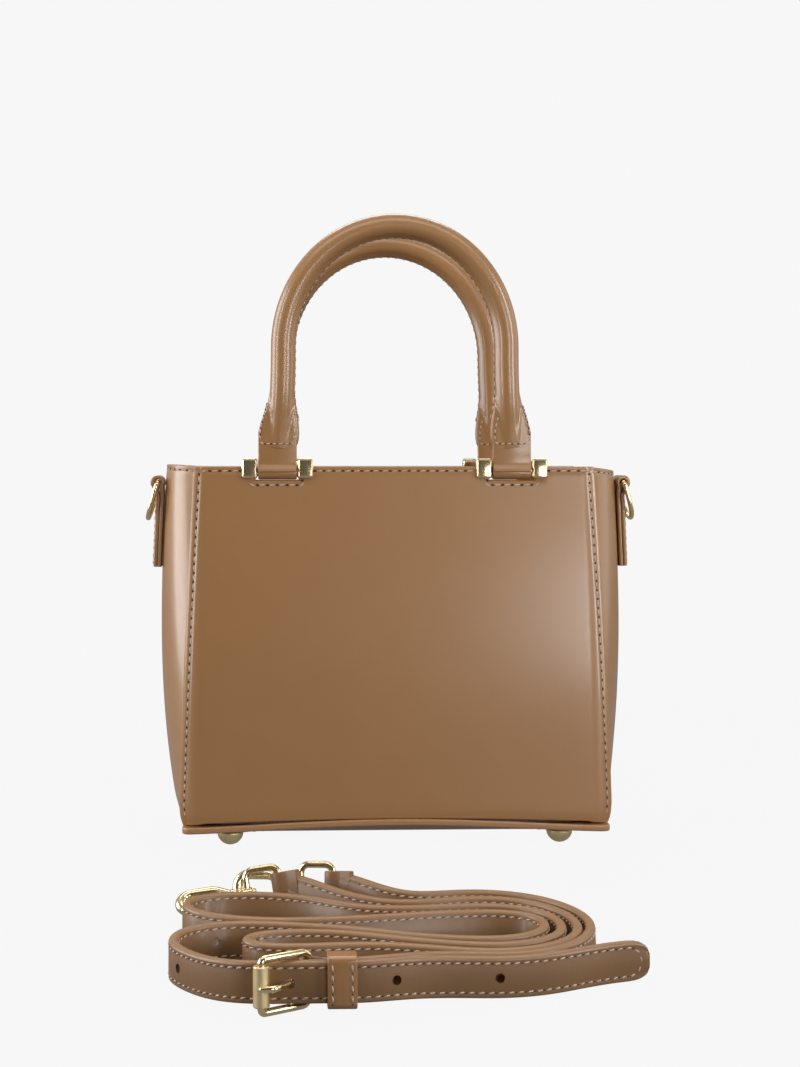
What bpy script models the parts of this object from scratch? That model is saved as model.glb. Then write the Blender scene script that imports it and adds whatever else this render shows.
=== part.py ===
"""A mini handbag of smooth leather with two rolled handles, and its detachable shoulder strap.

The bag stands on four dome feet with its origin on the floor under its middle.
+Z is up, the front faces -Y and the bag's width runs along X.
"""
import math

import bmesh
import bpy
import numpy as np
from mathutils import Matrix, Vector

MM = 0.001

# Clearances and overruns
GAP = 0.3 * MM                 # between two pieces that touch
SEWN_GAP = 0.4 * MM            # between a loose lining and the leather behind it
OVERRUN = 6.0 * MM             # how far a cutter runs past what it cuts

# Bag body
RIM_HEIGHT = 181.0 * MM
FOOT_HEIGHT = 7.1 * MM
BASE_LEATHER = 3.0 * MM
RIM_HALF_WIDTH = 96.8 * MM
BASE_HALF_WIDTH = 104.0 * MM
SIDE_BOW = 0.6 * MM
CORNER_TUCK = 1.8 * MM         # how far the sides draw in at the bottom corners
CORNER_TUCK_HEIGHT = 12.0 * MM
RIM_HALF_DEPTH = 29.0 * MM
BASE_HALF_DEPTH = 48.0 * MM
PANEL_BELLY = 2.2 * MM
PANEL = 2.4 * MM               # turned and lined leather of front and back
GUSSET = 1.8 * MM
EDGE_RADIUS = 18.0 * MM
RIM_EDGE_TURN = math.radians(24)
BASE_EDGE_TURN = math.radians(42)
SEAM_LAP = 8.0 * MM
GUSSET_SWELL_LOW = 1.8 * MM
GUSSET_SWELL_HIGH = 14.4 * MM
GUSSET_DIP = 2.2 * MM
SWELL_POWER = 3.2
SEAM_ARCH = 3.6 * MM           # how far the bottom seams rise in the middle
SEAM_ARCH_POWER = 1.7
ROW_SHARES = (0, 0.04, 0.1, 0.18, 0.3, 0.45, 0.64, 0.82, 1)
PANEL_COLUMNS = 14
PANEL_FLAT_SHARE = 0.6
GUSSET_COLUMNS = 20
GUSSET_FREE_SHARE = 0.8

# Base, base board, lining and pocket
BASE_OVERHANG = 1.6 * MM        # beyond the front and the back
BASE_END_INSET = 2.9 * MM       # inside the sides
BASE_CURL = 8.0 * MM
BASE_LIP = 1.0 * MM             # the level strip along the outer edge of the curl
BASE_COLUMNS = 14
BASE_ROW_SHARES = (-1, -0.98, -0.945, -0.9, -0.86, -0.835, 0, 0.835, 0.86, 0.9, 0.945, 0.98, 1)
BOARD = 2.0 * MM
BOARD_INSET_X = 7.2 * MM
BOARD_INSET_Y = 7.0 * MM
BOARD_CORNER = 12.0 * MM
CORNER_STEPS = 4
LINING = 1.0 * MM
LINING_TOP = 150.0 * MM
LINING_TURN_SHARES = (0.4, 0.8)                  # where its outline has corners, along the turned edge
LINING_SIDE_SHARES = (-0.85, -0.45, 0, 0.45, 0.85)    # and along the gusset's arc
POCKET_HALF_WIDTH = 46.0 * MM
POCKET_LOW = 62.0 * MM
POCKET_HIGH = 138.0 * MM
POCKET = 0.8 * MM

# Feet
FOOT_RADIUS = 6.3 * MM
FOOT_FLAT_ANGLE = math.radians(16)
FOOT_DOME_SHARE = 0.84
FOOT_NECK_SHARE = 0.72
FOOT_INSET_X = 24.6 * MM        # from the base's outline to a foot's middle
FOOT_INSET_Y = 12.0 * MM
TURNED_STEPS = 20

# Magnetic snap on the inner facings
SNAP_RADIUS = 7.0 * MM
SNAP_HEIGHT = 164.0 * MM
SNAP_SOCKET_DEPTH = 2.8 * MM
SNAP_STUD_DEPTH = 1.6 * MM
SNAP_NUB_RADIUS = 2.7 * MM
SNAP_NUB_HEIGHT = 1.5 * MM
SNAP_WELL_RADIUS = 3.2 * MM

# Handle brackets: two blocks astride the rim with a bar between them
TAB_INSET = 40.3 * MM          # from the rim's end to the middle of a handle's tab
TAB_WIDTH = 18.5 * MM
BAR_HEIGHT = 177.8 * MM
BAR_RADIUS = 1.5 * MM
BLOCK_WIDTH = 7.3 * MM
BLOCK_BELOW_BAR = 2.6 * MM
BLOCK_ABOVE_BAR = 6.7 * MM
BLOCK_OUTER_WALL = 2.0 * MM
BLOCK_INNER_WALL = 1.6 * MM
BLOCK_CHEEK = 1.0 * MM
BLOCK_CHAMFER = 0.8 * MM
TAB_SIDE_GAP = 0.55 * MM
NOTCH_BELOW_BAR = 3.9 * MM

# Handles
TAB_LAYER = 1.4 * MM
HANDLE_BORE_GAP = 0.35 * MM
HANDLE_RISE = 124.2 * MM       # from the bar to the top of the grip
GRIP_RADIUS = 5.6 * MM
GRIP_LOW = 12.2 * MM           # from the bar to the lower end of the flare
GRIP_LEG_TOP = 60.0 * MM
GRIP_LEG_CLOSING = 2.5 * MM    # how much nearer each leg is to the middle at its top
GRIP_LIP = 1.6 * MM
GRIP_SLOT_DEPTH = 11.0 * MM
GRIP_SIDES = 12
GRIP_ARCH_STEPS = 18
FLARE_HEIGHTS = (0.0, 1.4 * MM, 4.5 * MM, 9.0 * MM, 14.0 * MM, 20.0 * MM, 27.0 * MM)
FLARE_WIDTH_SHARES = (0.66, 0.9, 1.0, 0.98, 0.86, 0.68, 0.57)
FLARE_HALF_WIDTH = 9.9 * MM
FLARE_DEPTH_SHARES = (0.55, 0.58, 0.6, 0.62, 0.72, 0.88, 1.0)
ROUND_POWER = 2.0              # a superellipse of this power is round
FLARE_POWER = 3.2              # and of this one squarish, at the flare's end
BACK_HANDLE_LEAN = math.radians(7)

# Side tabs and D rings
SIDE_TAB_WIDTH = 14.5 * MM
SIDE_TAB_LAYER = 2.0 * MM
SIDE_TAB_LOW = 131.5 * MM
RING_BAR_HEIGHT = 173.0 * MM
RING_WIRE = 1.2 * MM
RING_BORE_GAP = 0.3 * MM
RING_HALF_WIDTH = 9.4 * MM
RING_SIDE = 9.0 * MM
RING_CORNER = 2.0 * MM
RING_LEAN = math.radians(16)
ARC_STEPS = 8
FOLD_STEPS = 12
STRIP_SHOULDER = math.radians(50)    # where a folded strip's two layers leave the bar

# Shoulder strap
STRAP_WIDTH = 14.0 * MM
STRAP_THICKNESS = 3.6 * MM
STRAP_EDGE = 0.7 * MM
STRAP_STEP = 7.0 * MM
TIP_SHARES = (0.4, 0.68, 0.86, 0.97, 1.0)
TIP_LENGTH_SHARES = (0.0, 0.1, 0.28, 0.6, 1.0)
HOLE_RADIUS = 1.8 * MM
HOLE_SIDES = 10
HOLES = (59.5 * MM, 98.0 * MM, 134.0 * MM, 184.0 * MM, 223.0 * MM, 261.0 * MM, 299.0 * MM)
HOLES_BEFORE_PRONG_COUNT = 2
STRAP_END_GAP = 4.6 * MM       # from a bar's axis to where the strap's plain band begins
END_LAYER = 1.7 * MM
END_BORE_GAP = 0.35 * MM
END_NECK = 9.0 * MM
END_SIDE_INSET = 0.3 * MM

# The long strap's route on the floor, from its tip to its hook: x, y and lift above the floor
LONG_ROUTE = (
    (74, -250, 0), (62, -253.5, 0), (50, -258.7, 0), (36, -265.4, 0), (20, -269.4, 0.2), (4, -271, 0.9),
    (-9, -274.3, 1.9), (-20, -279.8, 3.1), (-30.5, -282.75, 3.5), (-36, -282.9, 3.5), (-42, -282.9, 3.5),
    (-54, -282.9, 3.5), (-64, -282.7, 3.5), (-73, -278.9, 2.8), (-81.5, -270.4, 1.5), (-89, -259, 0.4),
    (-94.5, -246.5, 0),
    (-93, -233.3, 0), (-83.5, -224.3, 0), (-71, -221.4, 0), (-58, -222.8, 0), (-45.8, -225.3, 0),
    (-33.7, -228.6, 0), (-21.6, -233.2, 0), (-9.4, -238.3, 0), (3.7, -242.2, 0), (16.9, -244, 0),
    (29, -242, 0), (38.1, -234.9, 0), (41.2, -224.8, 0), (38.1, -215.1, 0), (29, -209.9, 0),
    (14.9, -209.1, 0), (0.7, -210.6, 0), (-13.5, -213.1, 0), (-27.6, -215.4, 0), (-41.8, -216.9, 0),
    (-55.9, -217.3, 0), (-69.1, -215.3, 0), (-81.2, -210.4, 0), (-89.8, -202.5, 0), (-92.4, -192.9, 0),
    (-87.6, -184.6, 0), (-77.6, -180.4, 0), (-66.1, -180, 0), (-53.9, -182.8, 0), (-42.8, -188.2, 0),
    (-32.4, -195.4, 0), (-21.6, -200.6, 0), (-9.4, -202, 0), (4.7, -201, 0), (18.9, -199.8, 0),
    (31, -201.8, 0), (40.7, -208.1, 0), (46, -217.7, 0), (47, -228.8, 0), (43.2, -239.9, 0),
    (34.1, -248, 0), (20.9, -251.5, 0), (6.8, -249.7, 0), (-8.4, -244.8, 0), (-21.6, -239.4, 0),
    (-33.7, -235, 0), (-45.8, -233, 0), (-58, -233.8, 0), (-66.1, -237.4, 0), (-68.6, -243, 0),
    (-65, -248.2, 0), (-57, -250.7, 0), (-45.8, -250.9, 0), (-33.7, -250, 0), (-21.6, -250.2, 0),
    (-8.4, -252.9, 0), (5.8, -257.1, 0), (18.9, -259.2, 0), (32.1, -256.6, 0), (43.7, -249, 0),
    (51.1, -237.4, 0), (53.1, -224.8, 0), (50.8, -211.6, 0), (44.2, -200, 0), (34.1, -192.2, 0),
    (21.9, -189.4, 0), (9.8, -190.6, 0), (-2.3, -193, 0), (-13.5, -192.4, 0), (-24.6, -187.8, 0.6),
    (-35, -181.2, 1.9), (-45.5, -174, 3.9), (-56, -167, 5),
)

# The short strap's route, from the buckle to its hook
SHORT_ROUTE = (
    (-42.6, -278.65, 3.2), (-36.5, -278.65, 3.2), (-30.5, -278.3, 3.2), (-20, -274.8, 2.8), (-9, -269, 1.8),
    (4, -265.2, 0.8), (17, -264.2, 0.2), (25, -263.2, 0), (32, -261.4, 0), (38.5, -258.7, 0),
    (44.8, -254, 0), (50.4, -247.4, 0), (54.8, -239.4, 0), (57.6, -230, 0),
    (57.9, -216.7, 0), (53.8, -203, 0), (45.7, -190.9, 0), (33.6, -182.6, 0), (19.5, -179.6, 0),
    (6, -181, 0), (-5.5, -181.6, 0.4), (-15.4, -177.6, 1.6), (-25, -170.6, 3.2), (-35, -163, 4.3),
)
# How far each strap leans back, in degrees, at distances along it
LONG_LEANS = ((0 * MM, 4), (185 * MM, 4), (230 * MM, 15))
SHORT_LEANS = ((0 * MM, 4), (50 * MM, 4), (110 * MM, 15))
ROUTE_SAMPLE = 0.5 * MM
GAP_CHECK_STEP = 2.0 * MM
NEAR_ALONG = 12.0 * MM         # nearer than this along the strap is not another turn

# Roller buckle: distances along the strap from the hole that the prong goes through
HEEL_BAR_AT = 6.8 * MM
ROLLER_BAR_AT = -9.6 * MM
BUCKLE_WIRE = 1.35 * MM
HEEL_BAR_BEHIND = 5.7 * MM
ROLLER_BAR_BEFORE = 5.8 * MM
HEEL_CORNER = 3.0 * MM
ROLLER_CORNER = 1.5 * MM
BUCKLE_SIDE_GAP = 0.45 * MM
ROLLER_RADIUS = 2.8 * MM
ROLLER_BORE_GAP = 0.3 * MM
ROLLER_END_GAP = 0.5 * MM
PRONG_WIRE = 0.9 * MM
PRONG_EYE_GAP = 0.25 * MM
PRONG_EYE_WALL = 1.3 * MM
PRONG_SLOT_GAP = 0.4 * MM
PRONG_REST_GAP = 0.2 * MM
HEEL_NECK_OFFSET = 1.5 * MM
KEEPER_AT = 12.6 * MM
KEEPER_WIDTH = 10.0 * MM
KEEPER_WALL = 1.5 * MM
KEEPER_ROUND = 1.4 * MM

# Swivel snap hooks
LINK_WIRE = 1.4 * MM
LINK_LENGTH = 13.6 * MM        # between the middles of the link's two upright bars
LINK_SIDE_GAP = 0.8 * MM
LINK_CORNER = 3.4 * MM
BOSS_RADIUS = 2.7 * MM
BOSS_LENGTH = 4.4 * MM
STEM_RADIUS = 1.0 * MM
STEM_GAP = 0.3 * MM
STEM_HEAD_RADIUS = 2.0 * MM
STEM_HEAD = 1.2 * MM
BARREL_RADIUS = 3.0 * MM
BARREL_LENGTH = 4.4 * MM
HOOK_WIRE = 2.1 * MM
HOOK_HALF_WIDTH = 5.2 * MM
HOOK_SHOULDER = 11.5 * MM
HOOK_BEND_SHARE = 0.8          # where the claw bends outward, as a share of the shoulder's place
HOOK_BEND_OUT_SHARE = 0.82
HOOK_NOSE = 19.5 * MM
HOOK_MOUTH = 17.6 * MM
GATE_WIRE = 1.4 * MM
GATE_PIVOT_AT = 6.6 * MM
GATE_PIVOT_OUT = 4.4 * MM
GATE_TIP_GAP = 0.8 * MM
LUG_WIRE = 1.7 * MM
LONG_HOOK_AIM = (-0.988, -0.075, -0.134)     # the way that each hook points from its link
SHORT_HOOK_AIM = (-0.953, 0.297, -0.055)
LONG_HOOK_ROLL = math.radians(50)            # how far each hook has swivelled from upright
SHORT_HOOK_ROLL = math.radians(15)

# Worked out from the sizes above
BASE_TOP = FOOT_HEIGHT + GAP + BASE_LEATHER
SEAM_HEIGHT = BASE_TOP + GAP
BODY_HEIGHT = RIM_HEIGHT - SEAM_HEIGHT
WALL_LEAN = math.atan2(BASE_HALF_DEPTH - RIM_HALF_DEPTH, BODY_HEIGHT)
LINING_INSET = PANEL + GAP + GUSSET + SEWN_GAP
TAB_MIDDLE = RIM_HALF_WIDTH - TAB_INSET
GRIP_ARCH_HALF_SPAN = TAB_MIDDLE - GRIP_LEG_CLOSING
FOOT_X = BASE_HALF_WIDTH - FOOT_INSET_X
FOOT_Y = BASE_HALF_DEPTH - FOOT_INSET_Y
HALF_STRAP = STRAP_WIDTH / 2
BUCKLE_HALF_OPENING = HALF_STRAP + BUCKLE_SIDE_GAP


# Materials

def leather(name, colour, roughness):
    """A leather or cloth finish."""
    return finish(name, colour, roughness, 0.0)


def finish(name, colour, roughness, metallic):
    material = bpy.data.materials.new(name)
    material.use_nodes = True
    shader = material.node_tree.nodes["Principled BSDF"]
    shader.inputs["Base Color"].default_value = (*colour, 1.0)
    shader.inputs["Roughness"].default_value = roughness
    shader.inputs["Metallic"].default_value = metallic
    material.diffuse_color = (*colour, 1.0)
    return material


# Modelling helpers

def clear_scene():
    for old in list(bpy.data.objects):
        bpy.data.objects.remove(old, do_unlink=True)


def add_object(name, data, material):
    obj = bpy.data.objects.new(name, data)
    bpy.context.scene.collection.objects.link(obj)
    obj.data.materials.append(material)
    return obj


def add_mesh(name, bm, material, smooth_angle=math.radians(40)):
    bmesh.ops.recalc_face_normals(bm, faces=bm.faces)
    mesh = bpy.data.meshes.new(name)
    bm.to_mesh(mesh)
    bm.free()
    mesh.shade_smooth()
    mesh.set_sharp_from_angle(angle=smooth_angle)
    return add_object(name, mesh, material)


def hide_guide(guide):
    guide.hide_render = True
    guide.display_type = "WIRE"


def combine(obj, other, operation):
    """Joins another shape to an object or cuts it away, and hides that other shape."""
    step = obj.modifiers.new(other.name, "BOOLEAN")
    step.operation = operation
    step.object = other
    step.solver = "EXACT"
    hide_guide(other)


def applied(obj):
    """The object's mesh with its modifiers in it, as a new bmesh."""
    bpy.context.view_layer.update()
    graph = bpy.context.evaluated_depsgraph_get()
    bm = bmesh.new()
    mesh = bpy.data.meshes.new_from_object(obj.evaluated_get(graph))
    bm.from_mesh(mesh)
    bpy.data.meshes.remove(mesh)
    return bm


def block(name, low, high, material, chamfer=0.0):
    """A box between two corners, with its edges bevelled."""
    bm = bmesh.new()
    bmesh.ops.create_cube(bm, size=1.0)
    middle = (Vector(low) + Vector(high)) / 2
    size = Vector(high) - Vector(low)
    bmesh.ops.transform(bm, matrix=Matrix.Translation(middle) @ Matrix.Diagonal((*size, 1)), verts=bm.verts)
    if chamfer:
        bmesh.ops.bevel(
            bm, geom=bm.edges[:], offset=chamfer, offset_type="OFFSET", segments=1, profile=0.5,
            affect="EDGES", material=-1,
        )
    return add_mesh(name, bm, material)


def rod(name, start, end, radius, material, sides=TURNED_STEPS):
    """A round bar between two points."""
    start, end = Vector(start), Vector(end)
    turn = (end - start).to_track_quat("Z", "Y").to_matrix().to_4x4()
    bm = bmesh.new()
    bmesh.ops.create_cone(
        bm, cap_ends=True, segments=sides, radius1=radius, radius2=radius, depth=(end - start).length,
        matrix=Matrix.Translation((start + end) / 2) @ turn,
    )
    return add_mesh(name, bm, material)


def turned(name, profile, material, steps=TURNED_STEPS):
    """A shape turned about Z from its profile of (radius, height) points."""
    bm = bmesh.new()
    points = [bm.verts.new((radius, 0, height)) for radius, height in profile]
    edges = [bm.edges.new(pair) for pair in zip(points, points[1:])]
    bmesh.ops.spin(
        bm, geom=points + edges, cent=(0, 0, 0), axis=(0, 0, 1), angle=math.tau, steps=steps, use_merge=True
    )
    bmesh.ops.remove_doubles(bm, verts=bm.verts, dist=GAP / TURNED_STEPS)
    return add_mesh(name, bm, material)


def wire(name, points, radius, material, closed=False, sides_share=2):
    """A round wire through a list of points, with filled ends."""
    curve = bpy.data.curves.new(name, "CURVE")
    curve.dimensions = "3D"
    curve.bevel_depth = radius
    curve.bevel_resolution = sides_share
    curve.use_fill_caps = True
    spline = curve.splines.new("POLY")
    spline.points.add(len(points) - 1)
    for knot, place in zip(spline.points, points):
        knot.co = (*place, 1.0)
    spline.use_cyclic_u = closed
    return add_object(name, curve, material)


def as_mesh(obj):
    """Turns a curve object into a mesh object of the same name, which a Boolean can take."""
    name = obj.name
    material = obj.data.materials[0]
    bm = applied(obj)
    bpy.data.objects.remove(obj, do_unlink=True)
    bmesh.ops.remove_doubles(bm, verts=bm.verts, dist=GAP / TURNED_STEPS)
    return add_mesh(name, bm, material)


def extrude_sections(name, sections, material):
    """A solid whose first section is a face, extruded from each section to the next."""
    bm = bmesh.new()
    face = bm.faces.new([bm.verts.new(point) for point in sections[0]])
    first = face
    for section in sections[1:]:
        made = bmesh.ops.extrude_face_region(bm, geom=[face])
        moved = [item for item in made["geom"] if isinstance(item, bmesh.types.BMFace)][0]
        if face is not first:
            bm.faces.remove(face)
        face = moved
        for corner, point in zip(face.verts, section):
            corner.co = point
    bmesh.ops.recalc_face_normals(bm, faces=bm.faces)
    return add_mesh(name, bm, material)


def sheet(name, columns, rows, place, thickness, material):
    """A closed sheet: a grid that place(across, up) bends, each from -1 to 1, thickened behind its face."""
    bm = bmesh.new()
    bmesh.ops.create_grid(bm, x_segments=columns, y_segments=rows, size=1.0)
    for corner in bm.verts:
        corner.co = place(corner.co.x, corner.co.y)
    mesh = bpy.data.meshes.new(name)
    bm.to_mesh(mesh)
    bm.free()
    mesh.shade_smooth()
    obj = add_object(name, mesh, material)
    solid = obj.modifiers.new("Leather", "SOLIDIFY")
    solid.thickness = thickness
    solid.offset = -1
    solid.use_even_offset = True
    return obj


def arc(middle, radius, start, end, steps):
    """Points of an arc in a plane, from one angle to another."""
    angles = np.linspace(start, end, steps + 1)
    return [(middle[0] + radius * math.cos(a), middle[1] + radius * math.sin(a)) for a in angles]


def folded_strip(name, bar_radius, bore_gap, layer, neck, neck_half, neck_offset, width, material):
    """A leather strip folded round a bar along local Z, its two layers meeting in a neck along local Y."""
    bore = bar_radius + bore_gap
    outer = bore + layer
    curve = bpy.data.curves.new(name, "CURVE")
    curve.dimensions = "2D"
    curve.fill_mode = "BOTH"
    curve.extrude = width / 2
    join = outer + layer
    outline = arc((0, 0), outer, math.pi - STRIP_SHOULDER, math.tau + STRIP_SHOULDER, FOLD_STEPS)
    right, left = neck_offset + neck_half, neck_offset - neck_half
    split = join + abs(neck_offset)
    outline += [(right, split), (right, neck), (left, neck), (left, split)]
    hole = arc((0, 0), bore, 0, -math.tau, FOLD_STEPS)[:-1]
    for points in (outline, hole):
        spline = curve.splines.new("POLY")
        spline.points.add(len(points) - 1)
        for knot, place in zip(spline.points, points):
            knot.co = (*place, 0.0, 1.0)
        spline.use_cyclic_u = True
    return as_mesh(add_object(name, curve, material))


def axes(origin, across, up, along):
    """The matrix that takes local X, Y and Z to three directions at a point."""
    turn = Matrix((across, up, along)).transposed().to_4x4()
    return Matrix.Translation(origin) @ turn


def mm(place):
    return [round(value / MM, 2) for value in place]


def unit(direction):
    return [round(value, 4) for value in direction.normalized()]


def carry(obj, matrix):
    """Moves an object's mesh by a matrix, keeping its faces outward where the matrix mirrors."""
    obj.data.transform(matrix)
    if matrix.determinant() < 0:
        obj.data.flip_normals()


def empty(name, matrix):
    marker = bpy.data.objects.new(name, None)
    bpy.context.scene.collection.objects.link(marker)
    marker.matrix_world = matrix
    return marker


def attach(marker, *pieces):
    """Hangs pieces, made in the marker's own space, on the marker."""
    for piece in pieces:
        piece.parent = marker


# The bag body's shape

def between(low, high, share):
    return low + (high - low) * share


def half_depth(share):
    """From the middle plane to the outer face of the front, at a share of the wall's height."""
    return between(BASE_HALF_DEPTH, RIM_HALF_DEPTH, share) + PANEL_BELLY * (4 * share * (1 - share)) ** 2


def half_width(share):
    tuck = CORNER_TUCK * max(1 - share * BODY_HEIGHT / CORNER_TUCK_HEIGHT, 0) ** 2
    return between(BASE_HALF_WIDTH, RIM_HALF_WIDTH, share) + SIDE_BOW * 4 * share * (1 - share) - tuck


def edge_turn(share):
    return between(BASE_EDGE_TURN, RIM_EDGE_TURN, share)


def swell(share):
    return between(GUSSET_SWELL_LOW, GUSSET_SWELL_HIGH, 1 - (1 - share) ** SWELL_POWER)


def height_share(height):
    return min(max((height - SEAM_HEIGHT) / BODY_HEIGHT, 0), 1)


def edge_centre(share):
    """The middle of the arc that turns the front's side edge back."""
    return half_width(share) - EDGE_RADIUS * math.sin(edge_turn(share)), EDGE_RADIUS - half_depth(share)


def gusset_arc(share, inset=0.0):
    """The plan circle of the gusset's swell: its middle on X, its radius and its half angle."""
    middle_x, middle_y = edge_centre(share)
    reach = EDGE_RADIUS - PANEL - GAP
    start_x = middle_x + reach * math.sin(edge_turn(share))
    start_y = middle_y - reach * math.cos(edge_turn(share))
    rise = half_width(share) + swell(share) - start_x
    radius = (start_y ** 2 + rise ** 2) / (2 * rise)
    half_angle = math.asin(min(-start_y / radius, 1))
    return start_x + rise - radius, radius - inset, half_angle


def seam_rise(across):
    return SEAM_ARCH * (1 - min(across ** 2, 1)) ** SEAM_ARCH_POWER


def row_share(up):
    return float(np.interp((up + 1) / 2, np.linspace(0, 1, len(ROW_SHARES)), ROW_SHARES))


def panel_point(across, up):
    low = SEAM_HEIGHT + seam_rise(across)
    height = between(low, RIM_HEIGHT, row_share(up))
    share = height_share(height)
    middle_x, middle_y = edge_centre(share)
    side = math.copysign(1, across)
    beyond = abs(across) - PANEL_FLAT_SHARE
    if beyond <= 0:
        return across / PANEL_FLAT_SHARE * middle_x, middle_y - EDGE_RADIUS, height
    turn = beyond / (1 - PANEL_FLAT_SHARE) * edge_turn(share)
    return (
        side * (middle_x + EDGE_RADIUS * math.sin(turn)),
        middle_y - EDGE_RADIUS * math.cos(turn),
        height,
    )


def gusset_point(across, up):
    """A point of the right gusset: its edges run on behind the panels, its middle swells out."""
    beyond = abs(across) - GUSSET_FREE_SHARE
    dip = GUSSET_DIP * (1 - across ** 2)
    height = between(SEAM_HEIGHT, RIM_HEIGHT - dip, row_share(up))
    share = height_share(height)
    if beyond <= 0:
        middle, radius, half_angle = gusset_arc(share)
        angle = across / GUSSET_FREE_SHARE * half_angle
        return middle + radius * math.cos(angle), radius * math.sin(angle), height
    middle_x, middle_y = edge_centre(share)
    reach = EDGE_RADIUS - PANEL - GAP
    lap = min(edge_turn(share), SEAM_LAP / reach)
    turn = edge_turn(share) - beyond / (1 - GUSSET_FREE_SHARE) * lap
    return (
        middle_x + reach * math.sin(turn),
        math.copysign(1, across) * (reach * math.cos(turn) - middle_y),
        height,
    )


def base_point(across, up):
    """A point of the base's upper face, whose front and back edges curl up under the seams."""
    along = float(np.interp((up + 1) / 2, np.linspace(0, 1, len(BASE_ROW_SHARES)), BASE_ROW_SHARES))
    reach = BASE_HALF_DEPTH + BASE_OVERHANG
    depth = along * reach
    curl = min(max(abs(depth) - (reach - BASE_CURL), 0) / (BASE_CURL - BASE_LIP), 1)
    rise = seam_rise(across) * curl * curl * (3 - 2 * curl)
    return across * (BASE_HALF_WIDTH - BASE_END_INSET), depth, BASE_TOP + rise


def lining_ring(height):
    """The lining's outline seen from above, at one height."""
    share = height_share(height)
    middle_x, middle_y = edge_centre(share)
    reach = EDGE_RADIUS - LINING_INSET
    turn = edge_turn(share)
    front = [(middle_x, middle_y - reach)]
    for turned_share in LINING_TURN_SHARES:
        angle = turn * turned_share
        front.append((middle_x + reach * math.sin(angle), middle_y - reach * math.cos(angle)))
    middle, radius, half_angle = gusset_arc(share, GUSSET + SEWN_GAP)
    angles = [half_angle * side_share for side_share in LINING_SIDE_SHARES]
    side = [(middle + radius * math.cos(angle), radius * math.sin(angle)) for angle in angles]
    back = [(x, -y) for x, y in reversed(front)]
    half = front + side + back
    return [(x, y, height) for x, y in half] + [(-x, -y, height) for x, y in half]


# The bag body's pieces

def make_body(hide, cloth, card, gold):
    front = sheet("front_panel", PANEL_COLUMNS, len(ROW_SHARES) - 1, panel_point, PANEL, hide)
    back = sheet("back_panel", PANEL_COLUMNS, len(ROW_SHARES) - 1, panel_point, PANEL, hide)
    back.rotation_euler.z = math.pi
    notch_half = TAB_WIDTH / 2 + TAB_SIDE_GAP + BLOCK_CHEEK + GAP
    for side, place in (("left", -TAB_MIDDLE), ("right", TAB_MIDDLE)):
        for panel, facing in ((front, -1), (back, 1)):
            low_y, high_y = sorted((facing * (BASE_HALF_DEPTH + OVERRUN), 0))
            notch = block(
                panel.name + "_notch_" + side,
                (place - notch_half, low_y, BAR_HEIGHT - NOTCH_BELOW_BAR),
                (place + notch_half, high_y, RIM_HEIGHT + OVERRUN), hide,
            )
            combine(panel, notch, "DIFFERENCE")
    sheet("right_gusset", GUSSET_COLUMNS, len(ROW_SHARES) - 1, gusset_point, GUSSET, hide)
    left = sheet("left_gusset", GUSSET_COLUMNS, len(ROW_SHARES) - 1, gusset_point, GUSSET, hide)
    left.rotation_euler.z = math.pi
    sheet("base_panel", BASE_COLUMNS, len(BASE_ROW_SHARES) - 1, base_point, BASE_LEATHER, hide)
    make_board(card)
    make_lining(cloth)
    make_snap(gold)


def make_board(card):
    """The stiff board that lies on the base inside the bag, with round corners."""
    half_x = BASE_HALF_WIDTH - BOARD_INSET_X
    half_y = BASE_HALF_DEPTH - BOARD_INSET_Y
    corner_x, corner_y = half_x - BOARD_CORNER, half_y - BOARD_CORNER
    outline = []
    corners = ((corner_x, corner_y), (-corner_x, corner_y), (-corner_x, -corner_y), (corner_x, -corner_y))
    for quarter, (x, y) in enumerate(corners):
        start = quarter * math.pi / 2
        outline += arc((x, y), BOARD_CORNER, start, start + math.pi / 2, CORNER_STEPS)
    low, high = BASE_TOP + GAP, BASE_TOP + GAP + BOARD
    extrude_sections("base_board", [[(x, y, z) for x, y in outline] for z in (low, high)], card)


def make_lining(cloth):
    floor = BASE_TOP + GAP + BOARD + GAP
    heights = [between(floor, LINING_TOP, share) for share in ROW_SHARES]
    lining = extrude_sections("lining", [lining_ring(height) for height in heights], cloth)
    bm = bmesh.new()
    bm.from_mesh(lining.data)
    lid = [face for face in bm.faces if all(corner.co.z > LINING_TOP - GAP for corner in face.verts)]
    bmesh.ops.delete(bm, geom=lid, context="FACES_ONLY")
    bm.to_mesh(lining.data)
    bm.free()
    solid = lining.modifiers.new("Cloth", "SOLIDIFY")
    solid.thickness = LINING
    solid.offset = -1
    solid.use_even_offset = True

    def pocket_point(across, up):
        height = between(POCKET_LOW, POCKET_HIGH, (up + 1) / 2)
        depth = half_depth(height_share(height)) - LINING_INSET - LINING - GAP - POCKET
        return across * POCKET_HALF_WIDTH, depth, height

    sheet("slip_pocket", 2, 6, pocket_point, POCKET, cloth)


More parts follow.
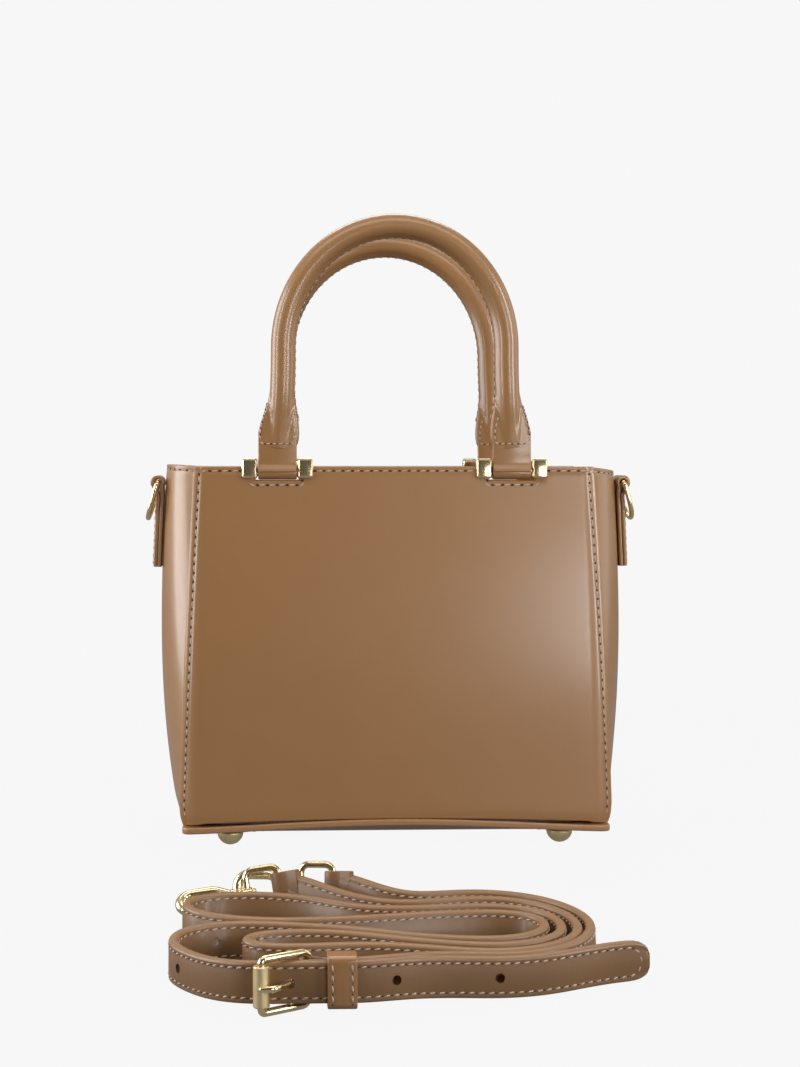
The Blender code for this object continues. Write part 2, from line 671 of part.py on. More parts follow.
def make_snap(gold):
    """The two halves of a magnetic snap, each flat on the inside of its panel."""
    socket = turned(
        "snap_socket",
        (
            (0, 0), (SNAP_RADIUS, 0), (SNAP_RADIUS, SNAP_SOCKET_DEPTH), (SNAP_WELL_RADIUS, SNAP_SOCKET_DEPTH),
            (SNAP_WELL_RADIUS, SNAP_SOCKET_DEPTH - SNAP_NUB_HEIGHT), (0, SNAP_SOCKET_DEPTH - SNAP_NUB_HEIGHT),
        ),
        gold,
    )
    stud = turned(
        "snap_stud",
        (
            (0, 0), (SNAP_RADIUS, 0), (SNAP_RADIUS, SNAP_STUD_DEPTH), (SNAP_NUB_RADIUS, SNAP_STUD_DEPTH),
            (SNAP_NUB_RADIUS, SNAP_STUD_DEPTH + SNAP_NUB_HEIGHT), (0, SNAP_STUD_DEPTH + SNAP_NUB_HEIGHT),
        ),
        gold,
    )
    share = height_share(SNAP_HEIGHT)
    seat = half_depth(share) - (PANEL + GAP) / math.cos(WALL_LEAN)
    for piece, facing in ((socket, -1), (stud, 1)):
        turn = Matrix.Rotation(facing * (math.pi / 2 + WALL_LEAN), 4, "X")
        piece.matrix_world = Matrix.Translation((0, facing * seat, SNAP_HEIGHT)) @ turn


def make_feet(gold):
    dome_height = FOOT_HEIGHT * FOOT_DOME_SHARE
    angles = np.linspace(FOOT_FLAT_ANGLE, math.pi / 2, ARC_STEPS - 1)
    drop = math.cos(FOOT_FLAT_ANGLE)
    profile = [(0, 0)]
    profile += [
        (FOOT_RADIUS * math.sin(a), dome_height * (drop - math.cos(a)) / drop) for a in angles
    ]
    neck = FOOT_RADIUS * FOOT_NECK_SHARE
    profile += [(neck, dome_height), (neck, FOOT_HEIGHT), (0, FOOT_HEIGHT)]
    for end, y in (("front", -FOOT_Y), ("back", FOOT_Y)):
        for side, x in (("left", -FOOT_X), ("right", FOOT_X)):
            foot = turned("foot_" + end + "_" + side, profile, gold)
            foot.location = (x, y, 0)


# Handles and their brackets

def bar_depth():
    """How far the handle bars lie from the middle plane: in the middle of the panel's rim."""
    return half_depth(height_share(BAR_HEIGHT)) - PANEL / 2 / math.cos(WALL_LEAN)


def make_bracket(name, marker, gold):
    """Two blocks astride the rim, joined by the bar that the handle's tab goes round."""
    inner = TAB_WIDTH / 2 + TAB_SIDE_GAP
    slot_half = PANEL / 2 + GAP
    outer_face, inner_face = -slot_half - BLOCK_OUTER_WALL, slot_half + BLOCK_INNER_WALL
    slot_top = (RIM_HEIGHT - BAR_HEIGHT) / math.cos(WALL_LEAN) + GAP

    def half(side, label):
        low_x, high_x = sorted((side * inner, side * (inner + BLOCK_WIDTH)))
        low, high = (low_x, outer_face, -BLOCK_BELOW_BAR), (high_x, inner_face, BLOCK_ABOVE_BAR)
        return block(label, low, high, gold, BLOCK_CHAMFER)

    def slot(side, label):
        low_x, high_x = sorted((side * (inner + BLOCK_CHEEK), side * (inner + BLOCK_WIDTH + OVERRUN)))
        low, high = (low_x, -slot_half, -BLOCK_BELOW_BAR - OVERRUN), (high_x, slot_half, slot_top)
        return block(label, low, high, gold)

    bracket = half(-1, name)
    other = half(1, name + "_other_block")
    bar_end = inner + BLOCK_CHEEK / 2
    bar = rod(name + "_bar", (-bar_end, 0, 0), (bar_end, 0, 0), BAR_RADIUS, gold)
    slots = [slot(side, name + "_slot_" + str(side)) for side in (-1, 1)]
    combine(bracket, other, "UNION")
    combine(bracket, bar, "UNION")
    for cutter in slots:
        combine(bracket, cutter, "DIFFERENCE")
    attach(marker, bracket, other, bar, *slots)


def grip_section(place, tangent, half_width_here, half_depth_here, squareness):
    """A closed ring of points round the handle's path."""
    across = Vector((tangent.z, 0, -tangent.x))
    ring = []
    for index in range(GRIP_SIDES):
        angle = math.tau * (index + 0.5) / GRIP_SIDES
        wide = math.copysign(abs(math.cos(angle)) ** (2 / squareness), math.cos(angle))
        deep = math.copysign(abs(math.sin(angle)) ** (2 / squareness), math.sin(angle))
        ring.append(place + across * half_width_here * wide + Vector((0, 1, 0)) * half_depth_here * deep)
    return ring


def grip_path():
    """Places and directions along the grip's middle line, from its left end to its right end."""
    low_x = TAB_MIDDLE
    leg_heights = [GRIP_LOW + rise for rise in FLARE_HEIGHTS]
    leg_heights.append((leg_heights[-1] + GRIP_LEG_TOP) / 2)
    rise = HANDLE_RISE - GRIP_RADIUS - GRIP_LEG_TOP

    def leg_x(height):
        share = (height - GRIP_LOW) / (GRIP_LEG_TOP - GRIP_LOW)
        return between(low_x, GRIP_ARCH_HALF_SPAN, share * (2 - share))

    left = [Vector((-leg_x(height), 0, height)) for height in leg_heights]
    arch = [
        Vector((-GRIP_ARCH_HALF_SPAN * math.cos(angle), 0, GRIP_LEG_TOP + rise * math.sin(angle)))
        for angle in np.linspace(0, math.pi, GRIP_ARCH_STEPS + 1)
    ]
    right = [Vector((-place.x, 0, place.z)) for place in reversed(left)]
    places = left + arch + right
    tangents = []
    for index, place in enumerate(places):
        before, after = places[max(index - 1, 0)], places[min(index + 1, len(places) - 1)]
        tangents.append((after - before).normalized())
    return places, tangents


def grip_sizes(place):
    """Half width, half depth and squareness of the grip at a height above the bar."""
    height = place.z - GRIP_LOW
    wide = FLARE_HALF_WIDTH * float(np.interp(height, FLARE_HEIGHTS, FLARE_WIDTH_SHARES))
    deep = GRIP_RADIUS * float(np.interp(height, FLARE_HEIGHTS, FLARE_DEPTH_SHARES))
    if height >= FLARE_HEIGHTS[-1]:
        wide = GRIP_RADIUS
    return wide, deep, between(FLARE_POWER, ROUND_POWER, min(height / FLARE_HEIGHTS[-1], 1))


def make_handle(side_name, marker, hide):
    places, tangents = grip_path()
    sections = [grip_section(place, tangent, *grip_sizes(place)) for place, tangent in zip(places, tangents)]
    grip = extrude_sections(side_name + "_handle_grip", sections, hide)
    attach(marker, grip)
    slot_half = TAB_LAYER + GAP
    for side, place in (("left", -TAB_MIDDLE), ("right", TAB_MIDDLE)):
        slot = block(
            side_name + "_handle_slot_" + side,
            (place - FLARE_HALF_WIDTH - OVERRUN, -slot_half, GRIP_LOW - OVERRUN),
            (place + FLARE_HALF_WIDTH + OVERRUN, slot_half, GRIP_LOW + GRIP_SLOT_DEPTH),
            hide,
        )
        combine(grip, slot, "DIFFERENCE")
        tab = folded_strip(
            side_name + "_handle_tab_" + side, BAR_RADIUS, HANDLE_BORE_GAP, TAB_LAYER,
            GRIP_LOW + GRIP_SLOT_DEPTH - GAP, TAB_LAYER, 0, TAB_WIDTH, hide,
        )
        carry(tab, axes((place, 0, 0), (0, 1, 0), (0, 0, 1), (1, 0, 0)))
        attach(marker, slot, tab)


def make_handles(hide, gold):
    depth = bar_depth()
    for side_name, facing, lean in (("front", 0.0, 0.0), ("back", math.pi, BACK_HANDLE_LEAN)):
        across = Matrix.Rotation(facing, 4, "Z")
        for side, place in (("left", -TAB_MIDDLE), ("right", TAB_MIDDLE)):
            sign = -1 if side_name == "front" else 1
            seat = Matrix.Translation((place, sign * depth, BAR_HEIGHT))
            lean_over = Matrix.Rotation(-WALL_LEAN, 4, "X")
            marker = empty("bracket_axis_" + side_name + "_" + side, seat @ across @ lean_over)
            make_bracket("bracket_" + side_name + "_" + side, marker, gold)
        pivot = Matrix.Translation((0, (-depth if side_name == "front" else depth), BAR_HEIGHT))
        marker = empty(side_name + "_handle_axis", pivot @ Matrix.Rotation(-lean, 4, "X"))
        make_handle(side_name, marker, hide)


# Side tabs and D rings

def ring_bar_place():
    """How far out the D rings' bars lie, on the middle of the gusset."""
    middle, radius, _ = gusset_arc(height_share(RING_BAR_HEIGHT))
    outer = RING_WIRE + RING_BORE_GAP + SIDE_TAB_LAYER
    return middle + radius + GAP + outer


def make_side(side_name, sign, hide, gold):
    out = ring_bar_place()
    print(side_name, "ring's bar at", mm((sign * out, 0, RING_BAR_HEIGHT)))
    marker = empty(side_name + "_ring_axis", Matrix.Translation((sign * out, 0, RING_BAR_HEIGHT)))
    outer = RING_WIRE + RING_BORE_GAP + SIDE_TAB_LAYER
    middle, radius, _ = gusset_arc(height_share(SIDE_TAB_LOW))
    slope = math.atan2(middle + radius + GAP + outer - out, RING_BAR_HEIGHT - SIDE_TAB_LOW)
    neck = (RING_BAR_HEIGHT - SIDE_TAB_LOW) / math.cos(slope)
    tab = folded_strip(
        "side_tab_" + side_name, RING_WIRE, RING_BORE_GAP, SIDE_TAB_LAYER, neck, SIDE_TAB_LAYER,
        SIDE_TAB_LAYER - outer, SIDE_TAB_WIDTH, hide,
    )
    down = Vector((sign * math.sin(slope), 0, -math.cos(slope)))
    across = Vector((sign * math.cos(slope), 0, math.sin(slope)))
    carry(tab, axes((0, 0, 0), across, down, across.cross(down)))
    half = RING_HALF_WIDTH
    corner = RING_CORNER
    outline = arc((half - corner, -corner), corner, math.pi / 2, 0, 2)
    outline += arc((0, -RING_SIDE), half, 0, -math.pi, ARC_STEPS)
    outline += arc((corner - half, -corner), corner, math.pi, math.pi / 2, 2)
    lean = RING_LEAN
    below = Vector((sign * math.sin(lean), 0, -math.cos(lean)))
    points = [Vector((0, 1, 0)) * across_bar - below * drop for across_bar, drop in outline]
    ring = wire(side_name + "_d_ring", points, RING_WIRE, gold, closed=True)
    attach(marker, tab, ring)


# The shoulder strap

class Route:
    """One smooth curve through hand-picked points, read by the distance along it."""

    def __init__(self, points, leans):
        self.leans = leans
        knots = np.array(points) * MM
        flat = np.linalg.norm(np.diff(knots, axis=0), axis=1)
        for knot, distance in zip(knots, np.concatenate([[0], np.cumsum(flat)])):
            knot[2] += HALF_STRAP * self.up(distance).z
        stations = np.concatenate([[0], np.cumsum(np.linalg.norm(np.diff(knots, axis=0), axis=1))])
        spans = np.diff(stations)
        count = len(knots)
        system, right_side = np.eye(count), np.zeros((count, 3))
        for i in range(1, count - 1):
            system[i, i - 1:i + 2] = spans[i - 1], 2 * (spans[i - 1] + spans[i]), spans[i]
            slopes = (knots[i + 1] - knots[i]) / spans[i] - (knots[i] - knots[i - 1]) / spans[i - 1]
            right_side[i] = 6 * slopes
        bends = np.linalg.solve(system, right_side)
        fine = np.linspace(0, stations[-1], int(stations[-1] / ROUTE_SAMPLE) + 1)
        span = np.clip(np.searchsorted(stations, fine, side="right") - 1, 0, count - 2)
        width = spans[span][:, None]
        after = (fine - stations[span])[:, None]
        left = width - after
        self.points = (
            bends[span] * left ** 3 + bends[span + 1] * after ** 3
        ) / (6 * width) + (knots[span] / width - bends[span] * width / 6) * left + (
            knots[span + 1] / width - bends[span + 1] * width / 6
        ) * after
        steps = np.linalg.norm(np.diff(self.points, axis=0), axis=1)
        self.distances = np.concatenate([[0], np.cumsum(steps)])
        self.length = float(self.distances[-1])

    def at(self, distance):
        """The place and the level direction at a distance along the route, also just past its ends."""
        inside = min(max(distance, 0), self.length)
        index = int(np.clip(np.searchsorted(self.distances, inside), 1, len(self.points) - 1))
        step = self.points[index] - self.points[index - 1]
        share = (inside - self.distances[index - 1]) / (self.distances[index] - self.distances[index - 1])
        place = self.points[index - 1] + step * share
        heading = Vector((step[0], step[1], 0)).normalized()
        return Vector(place) + heading * (distance - inside), heading

    def up(self, distance):
        """The direction of the band's width, from its lower edge to its upper one."""
        lean = math.radians(float(np.interp(distance, *zip(*self.leans))))
        return Vector((0, math.sin(lean), math.cos(lean)))

    def least_gap(self, other):
        """The least open space between this strap and another, or between its own turns."""
        every = int(GAP_CHECK_STEP / ROUTE_SAMPLE)
        mine, theirs = self.points[::every, :2], other.points[::every, :2]
        apart = np.linalg.norm(mine[:, None] - theirs[None], axis=2)
        if other is self:
            along = self.distances[::every]
            apart[np.abs(along[:, None] - along[None]) < NEAR_ALONG] = np.inf
        return float(apart.min()) - STRAP_THICKNESS


def strap_frame(place, heading, strap_up):
    """Along, up and outward directions of a fitting on the leaning strap."""
    up = (strap_up - heading * strap_up.dot(heading)).normalized()
    return Vector(place), heading, up, heading.cross(up)


def make_band(name, route, start, end, holes, round_tip, hide):
    """A flat strip cut with its holes, then bent along its route."""
    length = end - start
    bm = bmesh.new()
    bmesh.ops.create_cube(bm, size=1.0)
    size = Matrix.Diagonal((length, STRAP_THICKNESS, STRAP_WIDTH, 1))
    bmesh.ops.transform(bm, matrix=Matrix.Translation((length / 2, 0, 0)) @ size, verts=bm.verts)
    long_edges = [edge for edge in bm.edges if abs((edge.verts[0].co - edge.verts[1].co).x) > length / 2]
    bmesh.ops.bevel(
        bm, geom=long_edges, offset=STRAP_EDGE, offset_type="OFFSET", segments=1, profile=0.5,
        affect="EDGES", material=-1,
    )
    cuts = list(np.linspace(0, length, int(length / STRAP_STEP) + 1)[1:-1])
    if round_tip:
        rounding = [HALF_STRAP * share for share in TIP_LENGTH_SHARES[1:]]
        cuts = rounding + [cut for cut in cuts if cut > HALF_STRAP + STRAP_EDGE]
    for cut in cuts:
        everything = bm.verts[:] + bm.edges[:] + bm.faces[:]
        bmesh.ops.bisect_plane(bm, geom=everything, plane_co=(cut, 0, 0), plane_no=(1, 0, 0), dist=0.0)
    if round_tip:
        for corner in bm.verts:
            corner.co.z *= float(np.interp(corner.co.x / HALF_STRAP, TIP_LENGTH_SHARES, TIP_SHARES))
    flat = add_mesh(name + "_flat", bm, hide)
    cutters = []
    for hole in holes:
        at = hole - start
        cutter = rod(
            name + "_hole", (at, -STRAP_THICKNESS, 0), (at, STRAP_THICKNESS, 0), HOLE_RADIUS, hide, HOLE_SIDES
        )
        combine(flat, cutter, "DIFFERENCE")
        cutters.append(cutter)
    bm = applied(flat)
    for helper in [flat] + cutters:
        bpy.data.objects.remove(helper, do_unlink=True)
    for corner in bm.verts:
        place, heading = route.at(start + corner.co.x)
        sideways = heading.cross(Vector((0, 0, 1)))
        corner.co = place + sideways * corner.co.y + route.up(start + corner.co.x) * corner.co.z
    return add_mesh(name, bm, hide)


def add_strap_end(band, name, bar_place, up, heading, neck_offset, bar_radius, hide):
    """Joins to a band the fold that holds a bar. The neck runs from the bar along the heading."""
    heading = (heading - up * heading.dot(up)).normalized()
    across = heading.cross(up)
    fold = folded_strip(
        name, bar_radius, END_BORE_GAP, END_LAYER, END_NECK, END_LAYER, neck_offset,
        STRAP_WIDTH - 2 * END_SIDE_INSET, hide,
    )
    carry(fold, axes(bar_place, across, heading, across.cross(heading)))
    combine(band, fold, "UNION")
    return fold


def make_buckle(long_route, short_band, hide, gold):
    """The roller buckle, closed on the long strap's third hole, with the keeper beside it."""
    hole_at = HOLES[HOLES_BEFORE_PRONG_COUNT]
    place, heading = long_route.at(hole_at)
    heading = -heading                       # from the roller towards the strap's tip
    origin, along, up, outward = strap_frame(place, heading, long_route.up(hole_at))
    if outward.y > 0:
        outward = -outward

    def at(distance, before, height):
        return origin + along * distance + outward * before + up * height

    side = BUCKLE_HALF_OPENING + BUCKLE_WIRE
    heel, roller = (HEEL_BAR_AT, -HEEL_BAR_BEHIND), (ROLLER_BAR_AT, ROLLER_BAR_BEFORE)
    slant = math.atan2(heel[1] - roller[1], heel[0] - roller[0])
    span = math.hypot(heel[0] - roller[0], heel[1] - roller[1])
    outline = []
    for middle_x, middle_y, corner, start in (
        (span - HEEL_CORNER, side - HEEL_CORNER, HEEL_CORNER, 0),
        (ROLLER_CORNER, side - ROLLER_CORNER, ROLLER_CORNER, math.pi / 2),
        (ROLLER_CORNER, ROLLER_CORNER - side, ROLLER_CORNER, math.pi),
        (span - HEEL_CORNER, HEEL_CORNER - side, HEEL_CORNER, 3 * math.pi / 2),
    ):
        outline += arc((middle_x, middle_y), corner, start, start + math.pi / 2, 3)
    frame_points = [
        at(roller[0] + x * math.cos(slant), roller[1] + x * math.sin(slant), height) for x, height in outline
    ]
    wire("buckle_frame", frame_points, BUCKLE_WIRE, gold, closed=True)

    roller_half = side - ROLLER_CORNER - ROLLER_END_GAP
    bore = BUCKLE_WIRE + ROLLER_BORE_GAP
    tube = turned(
        "buckle_roller",
        (
            (bore, -roller_half), (ROLLER_RADIUS, -roller_half), (ROLLER_RADIUS, roller_half),
            (bore, roller_half), (bore, -roller_half),
        ),
        gold,
    )
    carry(tube, axes(at(*roller, 0), along, outward, up))

    eye_outer = BUCKLE_WIRE + PRONG_EYE_GAP + PRONG_EYE_WALL
    rest = ROLLER_BAR_BEFORE + ROLLER_RADIUS + PRONG_REST_GAP + PRONG_WIRE
    half_leather = STRAP_THICKNESS / 2
    behind = -half_leather - PRONG_WIRE - GAP
    before = half_leather + PRONG_WIRE + GAP
    sway = (HOLE_RADIUS - PRONG_WIRE) / 4
    stations = (
        (HEEL_BAR_AT - eye_outer / 2, behind - PRONG_WIRE / 2), (HOLE_RADIUS / 2, behind),
        (sway, -half_leather), (-sway, half_leather), (-HOLE_RADIUS / 2, before),
        (ROLLER_BAR_AT / 2, rest - PRONG_WIRE),
        (ROLLER_BAR_AT + ROLLER_RADIUS / 2, rest), (ROLLER_BAR_AT - PRONG_WIRE, rest),
    )
    prong = as_mesh(wire("buckle_prong", [at(*station, 0) for station in stations], PRONG_WIRE, gold))
    eye = turned(
        "buckle_prong_eye",
        (
            (BUCKLE_WIRE + PRONG_EYE_GAP, -PRONG_WIRE), (eye_outer, -PRONG_WIRE), (eye_outer, PRONG_WIRE),
            (BUCKLE_WIRE + PRONG_EYE_GAP, PRONG_WIRE), (BUCKLE_WIRE + PRONG_EYE_GAP, -PRONG_WIRE),
        ),
        gold,
    )
    carry(eye, axes(at(*heel, 0), along, outward, up))
    bore_cutter = rod(
        "buckle_prong_bore", at(*heel, -OVERRUN), at(*heel, OVERRUN), BUCKLE_WIRE + PRONG_EYE_GAP, gold
    )
    combine(prong, eye, "UNION")
    combine(prong, bore_cutter, "DIFFERENCE")

    add_strap_end(
        short_band, "short_strap_fold", at(*heel, 0), up, along, HEEL_NECK_OFFSET, BUCKLE_WIRE, hide
    )
    slot_half = PRONG_WIRE + PRONG_SLOT_GAP
    reach = BUCKLE_WIRE + END_BORE_GAP + END_LAYER + GAP
    slot = block("prong_slot", (-reach, -reach, -slot_half), (reach, reach, slot_half), hide)
    carry(slot, axes(at(*heel, 0), along, outward, up))
    combine(short_band, slot, "DIFFERENCE")

    make_keeper(long_route, hole_at - KEEPER_AT - KEEPER_WIDTH / 2, hide)
    print("buckle at", mm(origin), "roller axis through", mm(at(*roller, 0)))
    print("prong axis through", mm(at(*heel, 0)), "along", unit(up))


def make_keeper(route, distance, hide):
    """The leather loop that holds both straps together beside the buckle."""
    place, heading = route.at(distance)
    origin, along, up, outward = strap_frame(place, -heading, route.up(distance))
    if outward.y > 0:
        outward = -outward
    before = STRAP_THICKNESS / 2 + GAP
    behind = HEEL_NECK_OFFSET - HEEL_BAR_BEHIND - before - GAP
    high = HALF_STRAP + GAP
    half = KEEPER_WIDTH / 2
    keeper = block(
        "strap_keeper", (-half, behind - KEEPER_WALL, -high - KEEPER_WALL),
        (half, before + KEEPER_WALL, high + KEEPER_WALL), hide, KEEPER_ROUND,
    )
    hollow = block("keeper_hollow", (-half - OVERRUN, behind, -high), (half + OVERRUN, before, high), hide)
    for piece in (keeper, hollow):
        carry(piece, axes(origin, along, outward, up))
    combine(keeper, hollow, "DIFFERENCE")


def make_hook(name, band, route, aim, roll, hide, gold):
    """A swivel snap hook: link, body on its stem, and sprung gate. The link's far bar is in the strap."""
    bar_place, strap_heading = route.at(route.length)
    origin, along, up, outward = strap_frame(bar_place, Vector(aim).normalized(), route.up(route.length))
    rolled_up = up * math.cos(roll) + outward * math.sin(roll)

    def at(distance, height):
        return origin + along * distance + up * height

    def rolled(distance, height):
        return origin + along * distance + rolled_up * height

    half = HALF_STRAP + LINK_SIDE_GAP + LINK_WIRE
    outline = []
    for middle_x, middle_y, start in (
        (LINK_LENGTH - LINK_CORNER, half - LINK_CORNER, 0),
        (LINK_CORNER, half - LINK_CORNER, math.pi / 2),
        (LINK_CORNER, LINK_CORNER - half, math.pi),
        (LINK_LENGTH - LINK_CORNER, LINK_CORNER - half, 3 * math.pi / 2),
    ):
        outline += arc((middle_x, middle_y), LINK_CORNER, start, start + math.pi / 2, 3)
    link = as_mesh(wire(name + "_link", [at(x, y) for x, y in outline], LINK_WIRE, gold, closed=True))
    boss_low, boss_high = LINK_LENGTH - BOSS_LENGTH / 2, LINK_LENGTH + BOSS_LENGTH / 2
    boss = rod(name + "_boss", at(boss_low, 0), at(boss_high, 0), BOSS_RADIUS, gold)
    bore_ends = at(boss_low - OVERRUN, 0), at(boss_high + OVERRUN, 0)
    bore = rod(name + "_bore", *bore_ends, STEM_RADIUS + STEM_GAP, gold)
    combine(link, boss, "UNION")
    combine(link, bore, "DIFFERENCE")

    seat = boss_high + STEM_GAP
    head_high = boss_low - STEM_GAP
    spin = turned(
        name + "_body",
        (
            (0, head_high - STEM_HEAD), (STEM_HEAD_RADIUS, head_high - STEM_HEAD),
            (STEM_HEAD_RADIUS, head_high), (STEM_RADIUS, head_high), (STEM_RADIUS, seat),
            (BARREL_RADIUS, seat), (BARREL_RADIUS, seat + BARREL_LENGTH), (0, seat + BARREL_LENGTH),
        ),
        gold,
    )
    carry(spin, axes(origin, outward, up, along))
    claw = [(seat + BARREL_LENGTH / 2, 0), (seat + BARREL_LENGTH, HOOK_WIRE / 2)]
    claw += [(seat + HOOK_SHOULDER * HOOK_BEND_SHARE, HOOK_HALF_WIDTH * HOOK_BEND_OUT_SHARE)]
    claw += [(seat + HOOK_SHOULDER, HOOK_HALF_WIDTH)]
    claw += arc((seat + HOOK_NOSE, 0), HOOK_HALF_WIDTH, math.pi / 2, -math.pi / 2, ARC_STEPS)
    claw += [(seat + HOOK_MOUTH, -HOOK_HALF_WIDTH)]
    claw_piece = as_mesh(wire(name + "_claw", [rolled(x, y) for x, y in claw], HOOK_WIRE, gold))
    lug_end = (seat + GATE_PIVOT_AT - GATE_WIRE - GAP, -GATE_PIVOT_OUT)
    lug_line = [rolled(seat + LUG_WIRE, 0), rolled(seat + LUG_WIRE + GAP, -GATE_PIVOT_OUT), rolled(*lug_end)]
    lug = as_mesh(wire(name + "_lug", lug_line, LUG_WIRE, gold))
    combine(spin, claw_piece, "UNION")
    combine(spin, lug, "UNION")
    gate_start = seat + GATE_PIVOT_AT
    gate_end = seat + HOOK_MOUTH - GATE_TIP_GAP
    gate = [
        rolled(gate_start - GATE_WIRE / 2, -GATE_PIVOT_OUT), rolled(gate_start + GATE_WIRE, -GATE_PIVOT_OUT),
        rolled(gate_end, -HOOK_HALF_WIDTH),
    ]
    wire(name + "_gate", gate, GATE_WIRE, gold)
    pivot = rolled(gate_start, -GATE_PIVOT_OUT)
    print(name, "swivel through", mm(origin), "along", unit(along))
    print(name, "gate pivot", mm(pivot), "axis", unit(along.cross(rolled_up)))
    add_strap_end(band, name + "_strap_fold", bar_place, up, -strap_heading, 0, LINK_WIRE, hide)


def make_strap(hide, gold):
    long_route, short_route = Route(LONG_ROUTE, LONG_LEANS), Route(SHORT_ROUTE, SHORT_LEANS)
    long_band = make_band("strap_long", long_route, 0, long_route.length - STRAP_END_GAP, HOLES, True, hide)
    short_band = make_band("strap_short", short_route, 0, short_route.length - STRAP_END_GAP, [], False, hide)
    make_buckle(long_route, short_band, hide, gold)
    for name, band, route, aim, roll in (
        ("hook_a", long_band, long_route, LONG_HOOK_AIM, LONG_HOOK_ROLL),
        ("hook_b", short_band, short_route, SHORT_HOOK_AIM, SHORT_HOOK_ROLL),
    ):
        make_hook(name, band, route, aim, roll, hide, gold)
    print("long strap", round(long_route.length / MM), "mm")
    print("short strap", round(short_route.length / MM), "mm")
    print(
        "least gaps: long strap to itself", round(long_route.least_gap(long_route) / MM, 2),
        "mm, long to short", round(long_route.least_gap(short_route) / MM, 2),
        "mm, short strap to itself", round(short_route.least_gap(short_route) / MM, 2), "mm",
    )


def main():
    clear_scene()
    hide = leather("tan_leather", (0.30, 0.155, 0.062), 0.38)
    cloth = leather("lining_cloth", (0.36, 0.25, 0.15), 0.85)
    card = leather("base_board_card", (0.30, 0.26, 0.22), 0.8)
    gold = finish("gold_metal", (0.83, 0.64, 0.34), 0.18, 1.0)
    make_body(hide, cloth, card, gold)
    make_feet(gold)
    make_handles(hide, gold)
    for side_name, sign in (("left", -1), ("right", 1)):
        make_side(side_name, sign, hide, gold)
    make_strap(hide, gold)
    bpy.context.view_layer.update()


main()
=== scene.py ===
# %% [markdown]
# # A mini handbag of smooth leather, and its shoulder strap
#
# The bag is a small open-topped box of tan leather. Two panels, front and back, lap over two gussets that
# swell out at the sides. The panels stand on a base whose long edges curl up. Rolled handles swing on gold
# bars, a D ring hangs at each side, and the shoulder strap lies coiled on the floor in front.
#
# The lesson dresses a finished frame of solids. Every piece is a thin sheet, a swept band or a turned
# shape, so a few small helpers make nearly all of it.

# %% Load the frame
import math
from functools import partial

import bmesh
import bpy
import numpy as np
from mathutils import Matrix, Vector


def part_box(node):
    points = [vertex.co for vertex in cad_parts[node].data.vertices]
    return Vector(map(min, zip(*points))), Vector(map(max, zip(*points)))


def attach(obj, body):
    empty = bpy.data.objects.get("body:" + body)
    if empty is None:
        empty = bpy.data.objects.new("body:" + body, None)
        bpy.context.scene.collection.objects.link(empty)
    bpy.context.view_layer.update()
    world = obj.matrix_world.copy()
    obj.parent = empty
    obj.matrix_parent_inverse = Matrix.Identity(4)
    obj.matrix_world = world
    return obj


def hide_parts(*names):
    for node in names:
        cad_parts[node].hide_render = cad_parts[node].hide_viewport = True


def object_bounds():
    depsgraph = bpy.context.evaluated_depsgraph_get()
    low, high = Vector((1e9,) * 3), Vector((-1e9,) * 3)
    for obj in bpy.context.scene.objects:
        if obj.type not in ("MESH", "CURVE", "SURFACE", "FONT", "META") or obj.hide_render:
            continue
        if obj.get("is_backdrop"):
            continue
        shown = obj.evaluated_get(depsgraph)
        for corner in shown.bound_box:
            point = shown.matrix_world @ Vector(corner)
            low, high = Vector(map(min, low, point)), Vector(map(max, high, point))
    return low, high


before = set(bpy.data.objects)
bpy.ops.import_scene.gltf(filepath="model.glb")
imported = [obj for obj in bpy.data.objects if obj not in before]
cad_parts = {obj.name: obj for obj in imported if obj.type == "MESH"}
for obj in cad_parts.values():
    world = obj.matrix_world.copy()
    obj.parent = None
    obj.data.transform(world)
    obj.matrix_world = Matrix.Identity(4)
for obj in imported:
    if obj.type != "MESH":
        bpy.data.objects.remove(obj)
cad_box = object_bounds()
MM = 0.001

# %% [markdown]
# ## The camera
#
# The photograph was taken with a long lens from just above the rim and a little to the left, with the bag
# almost square to the film and off its middle. A picture's focal length in pixels, over the pixels of its
# long side, times the sensor's long side, is the lens. The same division turns the offset into a shift.

# %% Place the camera
IMAGE_LONG_SIDE = 1067
FOCAL_PIXELS = 1680
SENSOR = 36.0
CAMERA_PLACE = Vector((-60.4, -836.8, 185.9)) * MM
CAMERA_TURN = math.radians(2.0)
CAMERA_DIP = math.radians(2.63)
OFFSET_PIXELS = 71.9

scene = bpy.context.scene
camera = bpy.data.objects.new("camera", bpy.data.cameras.new("camera"))
camera.data.sensor_width = SENSOR
camera.data.lens = FOCAL_PIXELS / IMAGE_LONG_SIDE * SENSOR
camera.data.shift_x = OFFSET_PIXELS / IMAGE_LONG_SIDE
camera.data.clip_start = 10 * MM
camera.data.clip_end = 100.0
camera.location = CAMERA_PLACE
look = Vector((
    math.sin(CAMERA_TURN) * math.cos(CAMERA_DIP), math.cos(CAMERA_TURN) * math.cos(CAMERA_DIP), -math.sin(CAMERA_DIP),
))
camera.rotation_euler = look.to_track_quat("-Z", "Y").to_euler()
scene.collection.objects.link(camera)
scene.camera = camera
scene.view_settings.view_transform = "Standard"
print("lens", round(camera.data.lens, 1), "mm")

# %% [markdown]
# ## Finishes
#
# A finish is a Principled shader with a few texture nodes in front of it. They read Object coordinates, which
# stay put when a piece moves. Box calf is nearly smooth: a very fine grain breaks up its highlights, and slow
# mottling changes its colour a little.

